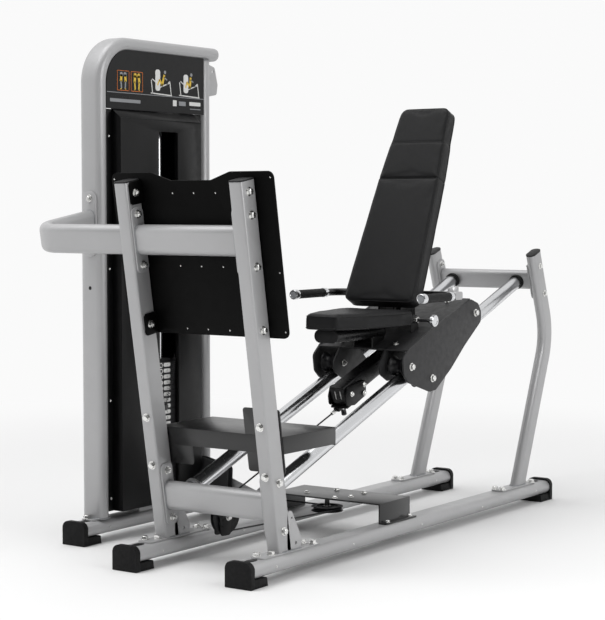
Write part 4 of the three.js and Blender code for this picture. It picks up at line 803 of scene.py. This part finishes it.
# ------------------------------------------------------------------ tow block and range tube
S_ = lambda o_, x0, x1, mat=0, holes=(): prism(o_, x0, x1, "YZ", holes, mat, SLOPE)
tb = Geo()
ck = soft([(792, 49), (912, 26), (894, -30), (812, -33), (762, -14), (768, 20)], 12)
for s in (-1, 1):
    tb.join(S_(ck, *sorted((s * 34, s * 40))))
tb.join(box(-36, 36, 768, 890, -28, -20, 0, SLOPE)).join(box(-12, 12, 748, 772, -32, -20, 0, SLOPE))
tb.join(lathe([(3.2, 0), (6, 0), (6.6, 2), (6.6, 22), (5, 26), (3.2, 26)], 24, 1, closed=True), to_dir(tow_pt - d_ * 22, d_))
tb.join(lathe([(6.8, 0), (13, 0), (13.5, 1), (13.5, 8), (12.5, 9), (6.8, 9)], 6, 1, closed=True), SLOPE @ Matrix.Translation((0, 790, -37)))
obj("v_tow_block", tb, [BLACKS, STEEL], "tow_block", ("tow_block",), bevel=1.0, angle=40)
for s in (-1, 1):
    for sp_, p_ in ((806, 14), (894, 12), (884, -17)):
        bolt("tow_block", (s * 40, sp_, p_), (s, 0, 0), 13, 6, 20, SLOPE)
st = lathe([(0, -50), (6, -50), (6, -13), (4.6, -10), (0, -10)], 32, 0)
st.join(lathe([(0, -64), (8.6, -64), (10, -62.4), (10, -58), (9, -56), (10, -54), (9, -52), (10, -50), (9, -48), (10, -46), (9.6, -42), (0, -42)], 36, 1))
obj("v_start_pin", Geo().join(st, SLOPE @ Matrix.Translation((0, 790, 0))), [CHROME, PIN], "start_pin", ("start_pin",), smooth=40)
sec = rounded([(-30, 52.7, 8), (30, 52.7, 8), (30, 6, 0), (26, -6, 0), (16, -15, 0), (0, -17.3, 0), (-16, -15, 0), (-26, -6, 0), (-30, 6, 0)], 6)
bor = rounded([(-26, 48.7, 5), (26, 48.7, 5), (26, 6, 0), (22, -4, 0), (13, -11.5, 0), (0, -13.3, 0), (-13, -11.5, 0), (-22, -4, 0), (-26, 6, 0)], 6)
rt = prism(sec, 779, 1500, "XZ", (bor,), 0, SLOPE)
slots_ = [shift(stadium(6, 34, 8), x, 20) for x in (-11, 11)]
rt.join(prism([(x * 1.0, z) for x, z in sec], 775, 779.5, "XZ", tuple(slots_), 0, SLOPE))
for x in (-11, 11):
    rt.join(prism(shift(stadium(6, 34, 8), x, 20), 777, 779.4, "XZ", (), 3, SLOPE))
for i in range(7):
    M = SLOPE @ Matrix.Translation((0, 790 + 50 * i, -17.0))
    rt.join(lathe([(7, -0.4), (9.6, -0.4), (9.9, 0.2), (9.9, 1), (7, 1)], 28, 1, closed=True), M)
    rt.join(lathe([(0, 0.1), (7, 0.1)], 24, 2), M)
obj("v_range_tube", rt, [BLACKT, STEEL, PIN, WHITE], "carriage", ("range_tube",), bevel=0.7, angle=50)

# ------------------------------------------------------------------ carriage
CB = "carriage"
side = soft([(928, 40), (949, 3), (1076, -92), (1119, -103), (1250, -75), (1377, -34), (1526, 3), (1539, 40), (1528, 78), (1480, 115), (1438, 116), (1309, 121), (1152, 123), (998, 121), (940, 100)], 24)
inner = soft([(922, 41), (958, 1), (998, -10), (1129, -19), (1137, 2), (1108, 45), (1120, 118), (985, 118), (923, 82)], 10)
inner_r = soft([(1440, 118), (1462, 20), (1530, 20), (1530, 60), (1500, 118)], 14)
tongue = soft([(1090, -10), (1094, -66), (1126, -66), (1129, -10)], 12)
cg = Geo()
for s in (-1, 1):
    cg.join(S_(side, *sorted((s * 193, s * 200))))
    for o_ in (inner, inner_r, tongue):
        cg.join(S_(o_, *sorted((s * 97, s * 103))))
    for a, b in ROLLERS.values():
        cg.join(lathe([(0, 98), (8, 98), (8, 193), (0, 193)], 28, 1), SLOPE @ Matrix.Translation((0, a, b)) @ Matrix.Rotation(s * math.pi / 2, 4, "Y"))
        bolt(CB, (s * 200, a, b), (s, 0, 0), 20, 10, 30, SLOPE)
        bolt(CB, (s * 97, a, b), (-s, 0, 0), 17, 8, 26, SLOPE, kind="nut")
cg.join(box(-196, 196, 985, 1480, 112, 118, 0, SLOPE))
for a, b in ((1180, 1230), (1420, 1460)):
    cg.join(box(-40, 40, a, b, 53.3, 114, 0, SLOPE))
bear = sweep(stadium(100, 47, 16), [(Vector((0, 848, 736.5)), Y_), (Vector((0, 1170, 736.5)), Y_)], X_, 3)
bear.join(sweep([(a * 1.02, b * 1.03) for a, b in stadium(100, 47, 16)], [(Vector((0, 844.6, 736.5)), Y_), (Vector((0, 846, 736.5)), Y_), (Vector((0, 851, 736.5)), Y_)], X_, 2, scale=[0.94, 1, 1]))
bear.join(sweep([(a * 1.02, b * 1.03) for a, b in stadium(100, 47, 16)], [(Vector((0, 1168, 736.5)), Y_), (Vector((0, 1173, 736.5)), Y_), (Vector((0, 1174.4, 736.5)), Y_)], X_, 2, scale=[1, 1, 0.94]))
cg.join(bear)
ln = lambda y: 231 + 0.3428 * ((y - 162.5) / 0.9394) + 110
for x in (-44, 38):
    cg.join(prism([(1092, ln(1092)), (1170, ln(1170)), (1170, 728), (1092, 728)], x, x + 6, "YZ", mat=3))
upo = soft([(1262, 738), (PIVOT.y - 15, PIVOT.z - 40), (PIVOT.y - 15, PIVOT.z + 15), (PIVOT.y + 14, PIVOT.z + 16), (1372, 886), (1380, 860), (1384, 783)], 13)
for x in (43, -51):
    cg.join(prism(upo, x, x + 8, "YZ", (circle(14.5, 28, 1345, 871),), 3))
cg.join(lathe([(0, -53), (14, -53), (14, 53), (0, 53)], 36, 1), Matrix.Translation(PIVOT) @ AX)
cg.join(prism(soft([(1226, 724), (1234, 798), (1270, 798), (1282, 745)], 12), 120, 128, "YZ", (circle(7, 28, 1252, 779),)))
cg.join(lathe([(7, -8), (11, -8), (12, -7), (12, 15), (11, 16), (7, 16)], 32, 1, closed=True), Matrix.Translation((128, 1252, 779)) @ AX)
obj("v_carriage_frame", cg, [CHARCOAL, STEEL, CAPM, BLACKT], CB, ("carriage_frame",), bevel=1.4, segs=3, angle=40)
for s in (-1, 1):
    for a in (1030, 1440):
        bolt(CB, (s * 120, a, 118), (0, 0, 1), 15, 7, 24, SLOPE)
    weld(CB, [(s * 190.5, a, 111.4) for a in (1000, 1465)], 2.4, SLOPE)
    bolt(CB, (s * (51.5 if s > 0 else 51), PIVOT.y, PIVOT.z), (s, 0, 0), 18, 8, 28)
    for z in (24, ):
        pass
    weld(CB, [(s * 44.5 if s > 0 else -44.5, 1094, 725), (s * 44.5 if s > 0 else -44.5, 1168, 725)], 2.2)
roll = [(8.4, -28), (15, -28), (15.5, -27), (20, -27), (21, -28), (36.6, -28), (38, -26.6)] + \
       [(51.3 - math.sqrt(26.9 ** 2 - x * x), x) for x in np.linspace(-22.5, 22.5, 25)] + [(38, 26.6), (36.6, 28), (21, 28), (20, 27), (15.5, 27), (15, 28), (8.4, 28)]
for sd, sx in (("left", -1), ("right", 1)):
    for w, (a, b) in ROLLERS.items():
        M = SLOPE @ Matrix.Translation((sx * GUIDE_X, a, b)) @ AX
        g = Geo().join(lathe(roll, 64, closed=True), M)
        g.join(lathe([(8.2, -28.5), (14.6, -28.5), (14.6, 28.5), (8.2, 28.5)], 40, 1, closed=True), M)
        obj(f"v_roller_{sd}_{w}", g, [NYLON, BEAR], f"roller_{sd}_{w}", (f"roller_{sd}_{w}",), smooth=35)

# ------------------------------------------------------------------ handles
hx, hy, hz = 280, 1345, 871
ht = sweep(circle(14, 32), route([(hx, 1046, hz), (hx, hy, hz), (-hx, hy, hz), (-hx, 1046, hz)], 58, 24), X_)
for s in (-1, 1):
    for x in (66, 150):
        ht.join(lathe([(14, -6), (18, -6), (19, -5), (19, 5), (18, 6), (14, 6)], 36, 1, closed=True), Matrix.Translation((s * x, hy, hz)) @ AX) if x == 66 else None
for s in (1,):
    ht.join(prism(soft([(1266, 858), (1330, 858), (1334, 904), (1322, 908), (1312, 892), (1296, 888), (1284, 906), (1266, 902)], 4), s * 262, s * 270, "YZ", mat=1))
    ht.join(prism(soft([(1266, 858), (1318, 858), (1318, 888), (1266, 888)], 8), s * 262, s * 296, "YZ", (), 1))
obj("v_handle_tube", ht, [BLACKT, SILVER], CB, ("handle_tube",), smooth=45)
for nm, sx in (("grip_left", -1), ("grip_right", 1)):
    M = Matrix.Translation((sx * hx, 0, hz)) @ Matrix.Rotation(-math.pi / 2, 4, "X")
    prof = [(14.1, 1062)]
    for k in range(44):
        y = 1066 + k * 3.9
        prof += [(16.5, y), (16.6, y + 2.2), (15.9, y + 2.9), (15.9, y + 3.5)]
    prof += [(16.4, 1240), (14.1, 1241)]
    g = Geo().join(lathe(prof, 40, closed=True), M)
    g.join(lathe([(13, 1041.6), (14, 1040), (16.5, 1040), (18.4, 1041.5), (19, 1044.5), (19, 1062), (18.2, 1065), (14.2, 1065)], 48, 1), M)
    g.join(lathe([(0, 1041.8), (12, 1041.8), (12.9, 1042.0), (13.4, 1043)], 40, 2), M)
    g.join(lathe([(14.2, 1239), (17.4, 1239), (18, 1240), (18, 1260.5), (17.2, 1262), (14.2, 1262)], 48, 1, closed=True), M)
    obj("v_" + nm, g, [GRIP, CHROME, GREYP], CB, (nm,), smooth=35)
KM = Matrix.Translation((0, 1252, 779)) @ AX
kg = lathe([(0, 26), (2.2, 26), (2.2, 40), (6, 41), (6, 190)], 36, 1).join(lathe([(0, 190), (8, 190), (10, 193), (10, 199), (7, 201), (7, 205), (0, 205)], 36))
kg.join(lathe([(0, 205), (20.5, 205), (22.5, 207), (22.5, 217), (20.5, 219), (14, 219), (13, 217.6), (0, 217.6)], 56), None)
obj("v_recline_knob", Geo().join(kg, KM), [CHROME, PIN], "recline_knob", ("recline_knob",), smooth=35)

# ------------------------------------------------------------------ backrest frame
bf = Geo()
bd = soft([(-140, -20), (140, -20), (95, 770), (-95, 770)], 18)
bf.join(prism(bd, 60.3, 66, "XZ", (rrect(18, 88, 3, 3, 48, 52), rrect(18, 88, 3, 3, -48, 52)), 1, BACK))
bf.join(sweep(rrect(76, 40, 9, 6), [(Vector((0, 86, 4)), Z_), (Vector((0, 86, 640)), Z_)], X_, 0, matrix=BACK))
bf.join(sweep(rrect(78, 42, 9, 6), [(Vector((0, 86, 637)), Z_), (Vector((0, 86, 641)), Z_), (Vector((0, 86, 642.5)), Z_)], X_, 2, matrix=BACK, scale=[1, 1, 0.93]))
R_H, A_H = math.hypot(1252 - PIVOT.y, 779 - PIVOT.z), math.degrees(math.atan2(779 - PIVOT.z, 1252 - PIVOT.y))
on = lambda r, deg: (PIVOT.y + r * math.cos(math.radians(deg)), PIVOT.z + r * math.sin(math.radians(deg)))
so = rounded([(PIVOT.y - 14, PIVOT.z + 12, 10), (PIVOT.y + 12, PIVOT.z + 10, 8), (PIVOT.y + 20, PIVOT.z - 50, 12), (*on(126, -92), 3)] + [(*on(126, a), 0) for a in (-96, -100, -104, -108, -112)] + [(*on(126, -116.2), 2)], 5)
bf.join(prism(so, 28, 36, "YZ", tuple(circle(2.4, 14, *on(R_H, A_H + 3 * i)) for i in range(7))))
obj("v_backrest_frame", bf, [BLACKT, BOARD, CAPM], "backrest", ("backrest_frame",), bevel=1.0, segs=2, angle=45)
for t in (120, 330, 560, 620):
    for s in (-1, 1):
        bolt("backrest", (s * 60 if t != 620 else s * 50, 66, t if t != 620 else 720), (0, 1, 0), 12, 5, 19, BACK)
for s in (-1, 1):
    weld("backrest", [(s * 38.5, 67, 10), (s * 38.5, 67, 632)], 2.2, BACK)

# ------------------------------------------------------------------ cushions
from mathutils.bvhtree import BVHTree
def cushion(name, outline, depth, frame_, nslot, body, up, channels=(), back_flat=True, front=1, cap=0.006, edge=10):
    """outline (u, v) and depth 0..depth along the third axis; front face at depth 0; front is not used"""
    # local: (u, v, w) with w = 0 at the face the sitter touches and w = depth at the board
    inset = [0.0, 1.3, 4.0, 8.0]
    def shrink(pts, q):
        n = len(pts); out = []
        for i in range(n):
            a, b = Vector(pts[i - 1]), Vector(pts[(i + 1) % n])
            t = (b - a).normalized(); nr = Vector((-t.y, t.x))
            out.append(tuple(Vector(pts[i]) + nr * q))
        return out
    if area2(outline) < 0: outline = outline[::-1]
    dense = []
    for i in range(len(outline)):
        a, b = Vector(outline[i]), Vector(outline[(i + 1) % len(outline)])
        k = max(1, int((b - a).length / 12))
        dense += [tuple(a.lerp(b, j / k)) for j in range(k)]
    rings = [(depth - 0.4, 2.0), (depth - 5, 0.4), (depth * 0.5, 0.0), (edge, 0.0), (edge * 0.5, edge * 0.14), (edge * 0.2, edge * 0.4), (0.0, edge * 0.9)]
    verts, faces, n = [], [], len(dense)
    for w, q in rings:
        verts += [(u, v, w) for u, v in shrink(dense, q)]
    for k in range(len(rings) - 1):
        for i in range(n):
            j = (i + 1) % n
            faces.append((k * n + i, k * n + j, (k + 1) * n + j, (k + 1) * n + i))
    faces.append(tuple(range(n))[::-1]); faces.append(tuple(range((len(rings) - 1) * n, len(rings) * n)))
    me = bpy.data.meshes.new(name)
    me.from_pydata([(u / 1000, v / 1000, w / 1000) for u, v, w in verts], [], faces)
    bm = bmesh.new(); bm.from_mesh(me); bmesh.ops.recalc_face_normals(bm, faces=bm.faces); bm.to_mesh(me); bm.free()
    o = bpy.data.objects.new(name, me); bpy.context.scene.collection.objects.link(o)
    m = o.modifiers.new("r", "REMESH"); m.mode = "VOXEL"; m.voxel_size = 0.006
    dg = bpy.context.evaluated_depsgraph_get()
    me2 = bpy.data.meshes.new_from_object(o.evaluated_get(dg)); o.modifiers.clear(); o.data = me2
    rest = np.array([v.co[:] for v in me2.vertices])
    co = rest.copy()
    vg = o.vertex_groups.new(name="pin")
    vg.add([int(i) for i in np.where(rest[:, 2] > (depth - 6) / 1000)[0]], 1.0, "REPLACE")
    cl = o.modifiers.new("c", "CLOTH"); s = cl.settings
    s.quality = 5; s.mass = 0.3; s.tension_stiffness = 18; s.compression_stiffness = 18; s.shear_stiffness = 8; s.bending_stiffness = 2.0
    s.use_pressure = True; s.uniform_pressure_force = 4.0; s.vertex_group_mass = "pin"; s.effector_weights.gravity = 0
    cl.collision_settings.use_collision = False
    sc = bpy.context.scene; sc.frame_start = 1; sc.frame_end = 20
    cl.point_cache.frame_start = 1; cl.point_cache.frame_end = 20
    for f in range(1, 21):
        sc.frame_set(f); dg = bpy.context.evaluated_depsgraph_get(); o.evaluated_get(dg).to_mesh(); o.evaluated_get(dg).to_mesh_clear()
    ev = o.evaluated_get(dg); tmp = bpy.data.meshes.new_from_object(ev)
    sim = np.array([v.co[:] for v in tmp.vertices]); bpy.data.meshes.remove(tmp)
    sc.frame_set(1); o.modifiers.clear(); o.vertex_groups.clear()
    d = sim - rest; L = np.linalg.norm(d, axis=1, keepdims=True)
    d = np.where(L > cap, d * (cap / np.maximum(L, 1e-9)), d); d = np.nan_to_num(d)
    d[:, 2] = np.clip(d[:, 2], -cap, 0.0)
    d[:, :2] *= 0.2; d[:, 2] *= 0.28
    co = rest + d
    # crown of the sitting face: highest in the middle, falling to the edges
    us, vs = np.array([p[0] for p in dense]) / 1000, np.array([p[1] for p in dense]) / 1000
    def edge_dist(P):
        best = np.full(len(P), 9.0)
        for i in range(len(us)):
            j = (i + 1) % len(us)
            a = np.array([us[i], vs[i]]); b = np.array([us[j], vs[j]]); ab = b - a
            t = np.clip(((P - a) @ ab) / max(ab @ ab, 1e-12), 0, 1)
            q = a + t[:, None] * ab
            best = np.minimum(best, np.hypot(*(P - q).T))
        return best
    dist = edge_dist(co[:, :2])
    face_w = np.clip(1 - co[:, 2] / (depth / 1000 * 0.45), 0, 1)
    crown = 1 - np.exp(-(dist / 0.042) ** 1.1)
    co[:, 2] -= face_w * (0.0018 + 0.0) * crown
    co[:, 2] += face_w * 0.0012 * np.exp(-(dist / 0.008) ** 2)
    for (axis, at, dpt, wd) in channels:
        co[:, 2] += face_w * dpt / 1000 * np.exp(-((co[:, axis] * 1000 - at) / wd) ** 2)
    ph = np.sin(co[:, 0] * 61 + 1.7 * np.sin(co[:, 1] * 23)) * np.sin(co[:, 1] * 47 + 1.1)
    co[:, 2] += face_w * 0.0004 * ph * np.exp(-dist / 0.05)
    o.data.vertices.foreach_set("co", co.ravel()); o.data.update()
    sub = o.modifiers.new("s", "SUBSURF"); sub.levels = 1; sub.render_levels = 1
    dg = bpy.context.evaluated_depsgraph_get(); me3 = bpy.data.meshes.new_from_object(o.evaluated_get(dg)); o.modifiers.clear(); o.data = me3
    bvh = BVHTree.FromPolygons([v.co for v in me3.vertices], [p.vertices for p in me3.polygons])
    me3.materials.clear(); me3.materials.append(VINYL)
    # piping round the face and a second bead round the back edge
    def seam(w, q, r, lift, nm, mat, dash=None, closed=True):
        pts = [Vector((u / 1000, v / 1000, w / 1000)) for u, v in shrink(dense, q)]
        hit = []
        for p in pts:
            h = bvh.find_nearest(p)
            if h[0] is not None: hit.append(h[0] + h[1] * (lift / 1000))
        P = [p * 1000 for p in hit]
        for _ in range(2): P = [(P[i - 1] + P[i] * 2 + P[(i + 1) % len(P)]) / 4 for i in range(len(P))]
        P.append(P[0])
        return [(P[i], (P[min(i + 1, len(P) - 1)] - P[max(i - 1, 0)]).normalized()) for i in range(len(P))]
    g = sweep(circle(2.1, 10), seam(edge * 0.55, edge * 0.12, 2.1, 0.4, "", SEAM), Vector((0.2, 0.3, 0.9)), caps=False)
    g.join(sweep(circle(2.1, 10), seam(depth - 7, 0.3, 2.1, 0.2, "", SEAM), Vector((0.2, 0.3, 0.9)), caps=False))
    for (axis, at, dpt, wd) in channels:
        lo, hi = min(p[1 - axis] for p in outline) + 6, max(p[1 - axis] for p in outline) - 6
        P = []
        for k in range(60):
            c = lo + (hi - lo) * k / 59
            q = (at, c) if axis == 0 else (c, at)
            h = bvh.ray_cast(Vector((q[0] / 1000, q[1] / 1000, -0.08)), Vector((0, 0, 1)), 0.1)
            if h[0] is not None: P.append(h[0] * 1000 + Vector((0, 0, 0.4)))
        if len(P) > 4:
            g.join(sweep(circle(1.3, 8), [(P[i], (P[min(i + 1, len(P) - 1)] - P[max(i - 1, 0)]).normalized()) for i in range(len(P))], Vector((0.2, 0.3, 0.9))))
    for q_obj in (o,):
        me = q_obj.data
        me.transform(frame_)
        me.polygons.foreach_set("use_smooth", [True] * len(me.polygons))
    if frame_.determinant() < 0: me.flip_normals()
    o.location = ORIGIN
    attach(o, body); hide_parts(nslot)
    F = frame_.copy()
    G = Geo().add([tuple((frame_ @ (Vector(p) / 1000)) * 1000) for p in g.v], g.f)
    obj(name + "_piping", G, SEAM, body, smooth=60)
    return o

def uvw(frame_mm, flip=False):
    """metres: local (u, v, w) to world through a frame given in mm, where frame local is (x, n, t)"""
    A = Matrix(((1, 0, 0, 0), (0, 0, 1, 0), (0, 1, 0, 0), (0, 0, 0, 1)))      # (u, v, w) -> (x, n=w, t=v)
    F = frame_mm.copy(); F.translation = F.translation / 1000
    return F @ A
low_o = rounded([(-158, -35, 30), (158, -35, 30), (135, 484, 6), (-135, 484, 6)], 8)
up_o = rounded([(-135, 479, 6), (135, 479, 6), (122, 630, 0), (118, 636, 0), (113, 735, 40), (106, 783, 30), (-106, 783, 30), (-113, 735, 40), (-118, 636, 0), (-122, 630, 0)], 8)
cushion("v_backrest_pad_lower", low_o, 60, uvw(BACK), "backrest_pad_lower", "backrest", None)
cushion("v_backrest_pad_upper", up_o, 60, uvw(BACK), "backrest_pad_upper", "backrest", None, channels=((1, 632, 1.6, 4),))
seat_o = rounded([(-66, 808, 26), (66, 808, 26), (118, 935, 60), (155, 1120, 50), (155, 1212, 30), (-155, 1212, 30), (-155, 1120, 50), (-118, 935, 60)], 8)
SM = Matrix(((1, 0, 0, 0), (0, 1, 0, 0), (0, 0, -1, 0.818), (0, 0, 0, 1)))
cushion("v_seat_pad", seat_o, 57.7, SM, "seat_pad", CB, None, edge=15, cap=0.006)

# ------------------------------------------------------------------ tether of the selector pin
A0, A1 = Vector((-600, 722, 655)), Vector((-600, 669, 463))
cp, N_ = [], 520
for i in range(N_ + 1):
    t = i / N_
    base = A0.lerp(A1, t) + Vector((0, 10 * math.sin(math.pi * t), 0))
    w = min(1, t * 10, (1 - t) * 10) * 4.2
    a = 2 * math.pi * 26 * t
    cp.append(base + Vector((math.cos(a) * w, math.sin(a) * w, 0)))
te = sweep(circle(1.15, 6), [(cp[i], (cp[min(i + 1, N_)] - cp[max(0, i - 1)]).normalized()) for i in range(N_ + 1)], X_)
te = obj("v_pin_tether", te, CABLE, None, smooth=80)
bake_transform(te)

# ------------------------------------------------------------------ fasteners and beads, one mesh per body
for b_, g in BOLTS.items():
    obj("v_fasteners_" + b_, g, STEEL, b_, smooth=30, merge=0)
for b_, g in WELDS.items():
    obj("v_welds_" + b_, g, WELD if b_ == FRAME_M else BLACKT, b_, smooth=70)

# ------------------------------------------------------------------ stage
sc = bpy.context.scene
sc.view_settings.view_transform = "Standard"
sc.view_settings.look = "None"
wd = bpy.data.worlds.new("w"); sc.world = wd; wd.use_nodes = True
nt = wd.node_tree; bg = nt.nodes["Background"]
bg.inputs["Color"].default_value = (1, 1, 1, 1); bg.inputs["Strength"].default_value = 0.85
# brighter to the camera than to the object, darker band low down so metal has something to reflect
lp_ = nt.nodes.new("ShaderNodeLightPath"); tcw = nt.nodes.new("ShaderNodeTexCoord"); sep = nt.nodes.new("ShaderNodeSeparateXYZ")
rmp = nt.nodes.new("ShaderNodeValToRGB")
nt.links.new(tcw.outputs["Generated"], sep.inputs[0]); nt.links.new(sep.outputs["Z"], rmp.inputs["Fac"])
e = rmp.color_ramp.elements
e[0].position = 0.0; e[0].color = (0.95, 0.95, 0.95, 1); e[1].position = 0.75; e[1].color = (0.95, 0.95, 0.95, 1)
k_ = e.new(0.2); k_.color = (1, 1, 1, 1)
dt = nt.nodes.new("ShaderNodeVectorMath"); dt.operation = "DOT_PRODUCT"; dt.inputs[1].default_value = (0.5687, -0.8226, 0.0)
nt.links.new(tcw.outputs["Generated"], dt.inputs[0])
mr = nt.nodes.new("ShaderNodeMapRange"); mr.interpolation_type = "SMOOTHSTEP"
mr.inputs["From Min"].default_value = -0.1; mr.inputs["From Max"].default_value = 0.75; mr.inputs["To Min"].default_value = 1.0; mr.inputs["To Max"].default_value = 0.1
nt.links.new(dt.outputs["Value"], mr.inputs["Value"])
vm = nt.nodes.new("ShaderNodeVectorMath"); vm.operation = "SCALE"
nt.links.new(rmp.outputs["Color"], vm.inputs[0]); nt.links.new(mr.outputs["Result"], vm.inputs["Scale"])
nt.links.new(vm.outputs["Vector"], bg.inputs["Color"])
bg2 = nt.nodes.new("ShaderNodeBackground"); bg2.inputs["Color"].default_value = (0.957, 0.957, 0.957, 1); bg2.inputs["Strength"].default_value = 1.0
mx = nt.nodes.new("ShaderNodeMixShader"); out = nt.nodes["World Output"]
nt.links.new(lp_.outputs["Is Camera Ray"], mx.inputs[0]); nt.links.new(bg.outputs[0], mx.inputs[1]); nt.links.new(bg2.outputs[0], mx.inputs[2]); nt.links.new(mx.outputs[0], out.inputs["Surface"])

def lamp(name, loc, target, size, energy, size_y=None):
    L = bpy.data.lights.new(name, "AREA"); L.energy = energy; L.size = size
    if size_y: L.shape = "RECTANGLE"; L.size_y = size_y
    o = bpy.data.objects.new(name, L); sc.collection.objects.link(o)
    o.location = Vector(loc) + ORIGIN; o.rotation_euler = (Vector(target) - Vector(loc)).to_track_quat("-Z", "Y").to_euler()
    return o
lamp("key", (-1.5, -2.5, 4.2), (0, 0.9, 0.7), 2.6, 95).visible_glossy = False
lamp("side", (3.8, 0.2, 2.6), (0, 1.0, 0.8), 2.4, 60)
sun = bpy.data.lights.new("sun", "SUN"); sun.energy = 1.25; sun.angle = math.radians(55)
so_ = bpy.data.objects.new("sun", sun); sc.collection.objects.link(so_); so_.rotation_euler = (math.radians(14), math.radians(-10), 0)
fm = bpy.data.materials.new("floor"); fm.use_nodes = True
fb = fm.node_tree.nodes["Principled BSDF"]; fb.inputs["Base Color"].default_value = (0.76, 0.76, 0.76, 1); fb.inputs["Roughness"].default_value = 0.75
fb.inputs["Specular IOR Level"].default_value = 0.15
fnt = fm.node_tree; fg = fnt.nodes.new("ShaderNodeNewGeometry"); fd = fnt.nodes.new("ShaderNodeVectorMath"); fd.operation = "DISTANCE"; fd.inputs[1].default_value = tuple(Vector((-0.15, 1.05, 0)) + ORIGIN)
fr_ = fnt.nodes.new("ShaderNodeMapRange"); fr_.interpolation_type = "SMOOTHSTEP"; fr_.inputs["From Min"].default_value = 1.5; fr_.inputs["From Max"].default_value = 4.5
fe = fnt.nodes.new("ShaderNodeEmission"); fe.inputs["Color"].default_value = (0.957, 0.957, 0.957, 1); fmx = fnt.nodes.new("ShaderNodeMixShader")
fnt.links.new(fg.outputs["Position"], fd.inputs[0]); fnt.links.new(fd.outputs["Value"], fr_.inputs["Value"]); fnt.links.new(fr_.outputs["Result"], fmx.inputs[0])
fnt.links.new(fb.outputs[0], fmx.inputs[1]); fnt.links.new(fe.outputs[0], fmx.inputs[2]); fnt.links.new(fmx.outputs[0], fnt.nodes["Material Output"].inputs["Surface"])
bpy.ops.mesh.primitive_plane_add(size=60, location=(0, 8, -0.0006))
fl = bpy.context.active_object; fl.name = "floor"; fl.data.materials.append(fm)

cam = bpy.data.cameras.new("cam"); co_ = bpy.data.objects.new("cam", cam); sc.collection.objects.link(co_)
a_, e_ = math.radians(34.66), math.radians(3.378)
fw = Vector((-math.sin(a_) * math.cos(e_), math.cos(a_) * math.cos(e_), -math.sin(e_)))
rtv = Vector((math.cos(a_), math.sin(a_), 0)); upv = rtv.cross(fw)
R = Matrix((rtv, upv, -fw)).transposed()
co_.matrix_world = Matrix.Translation(Vector((3.4762, -4.3304, 1.2)) + ORIGIN) @ R.to_4x4()
cam.lens = 1735.4 * 36 / 620; cam.sensor_width = 36; cam.sensor_fit = "AUTO"; cam.clip_end = 200
sc.camera = co_
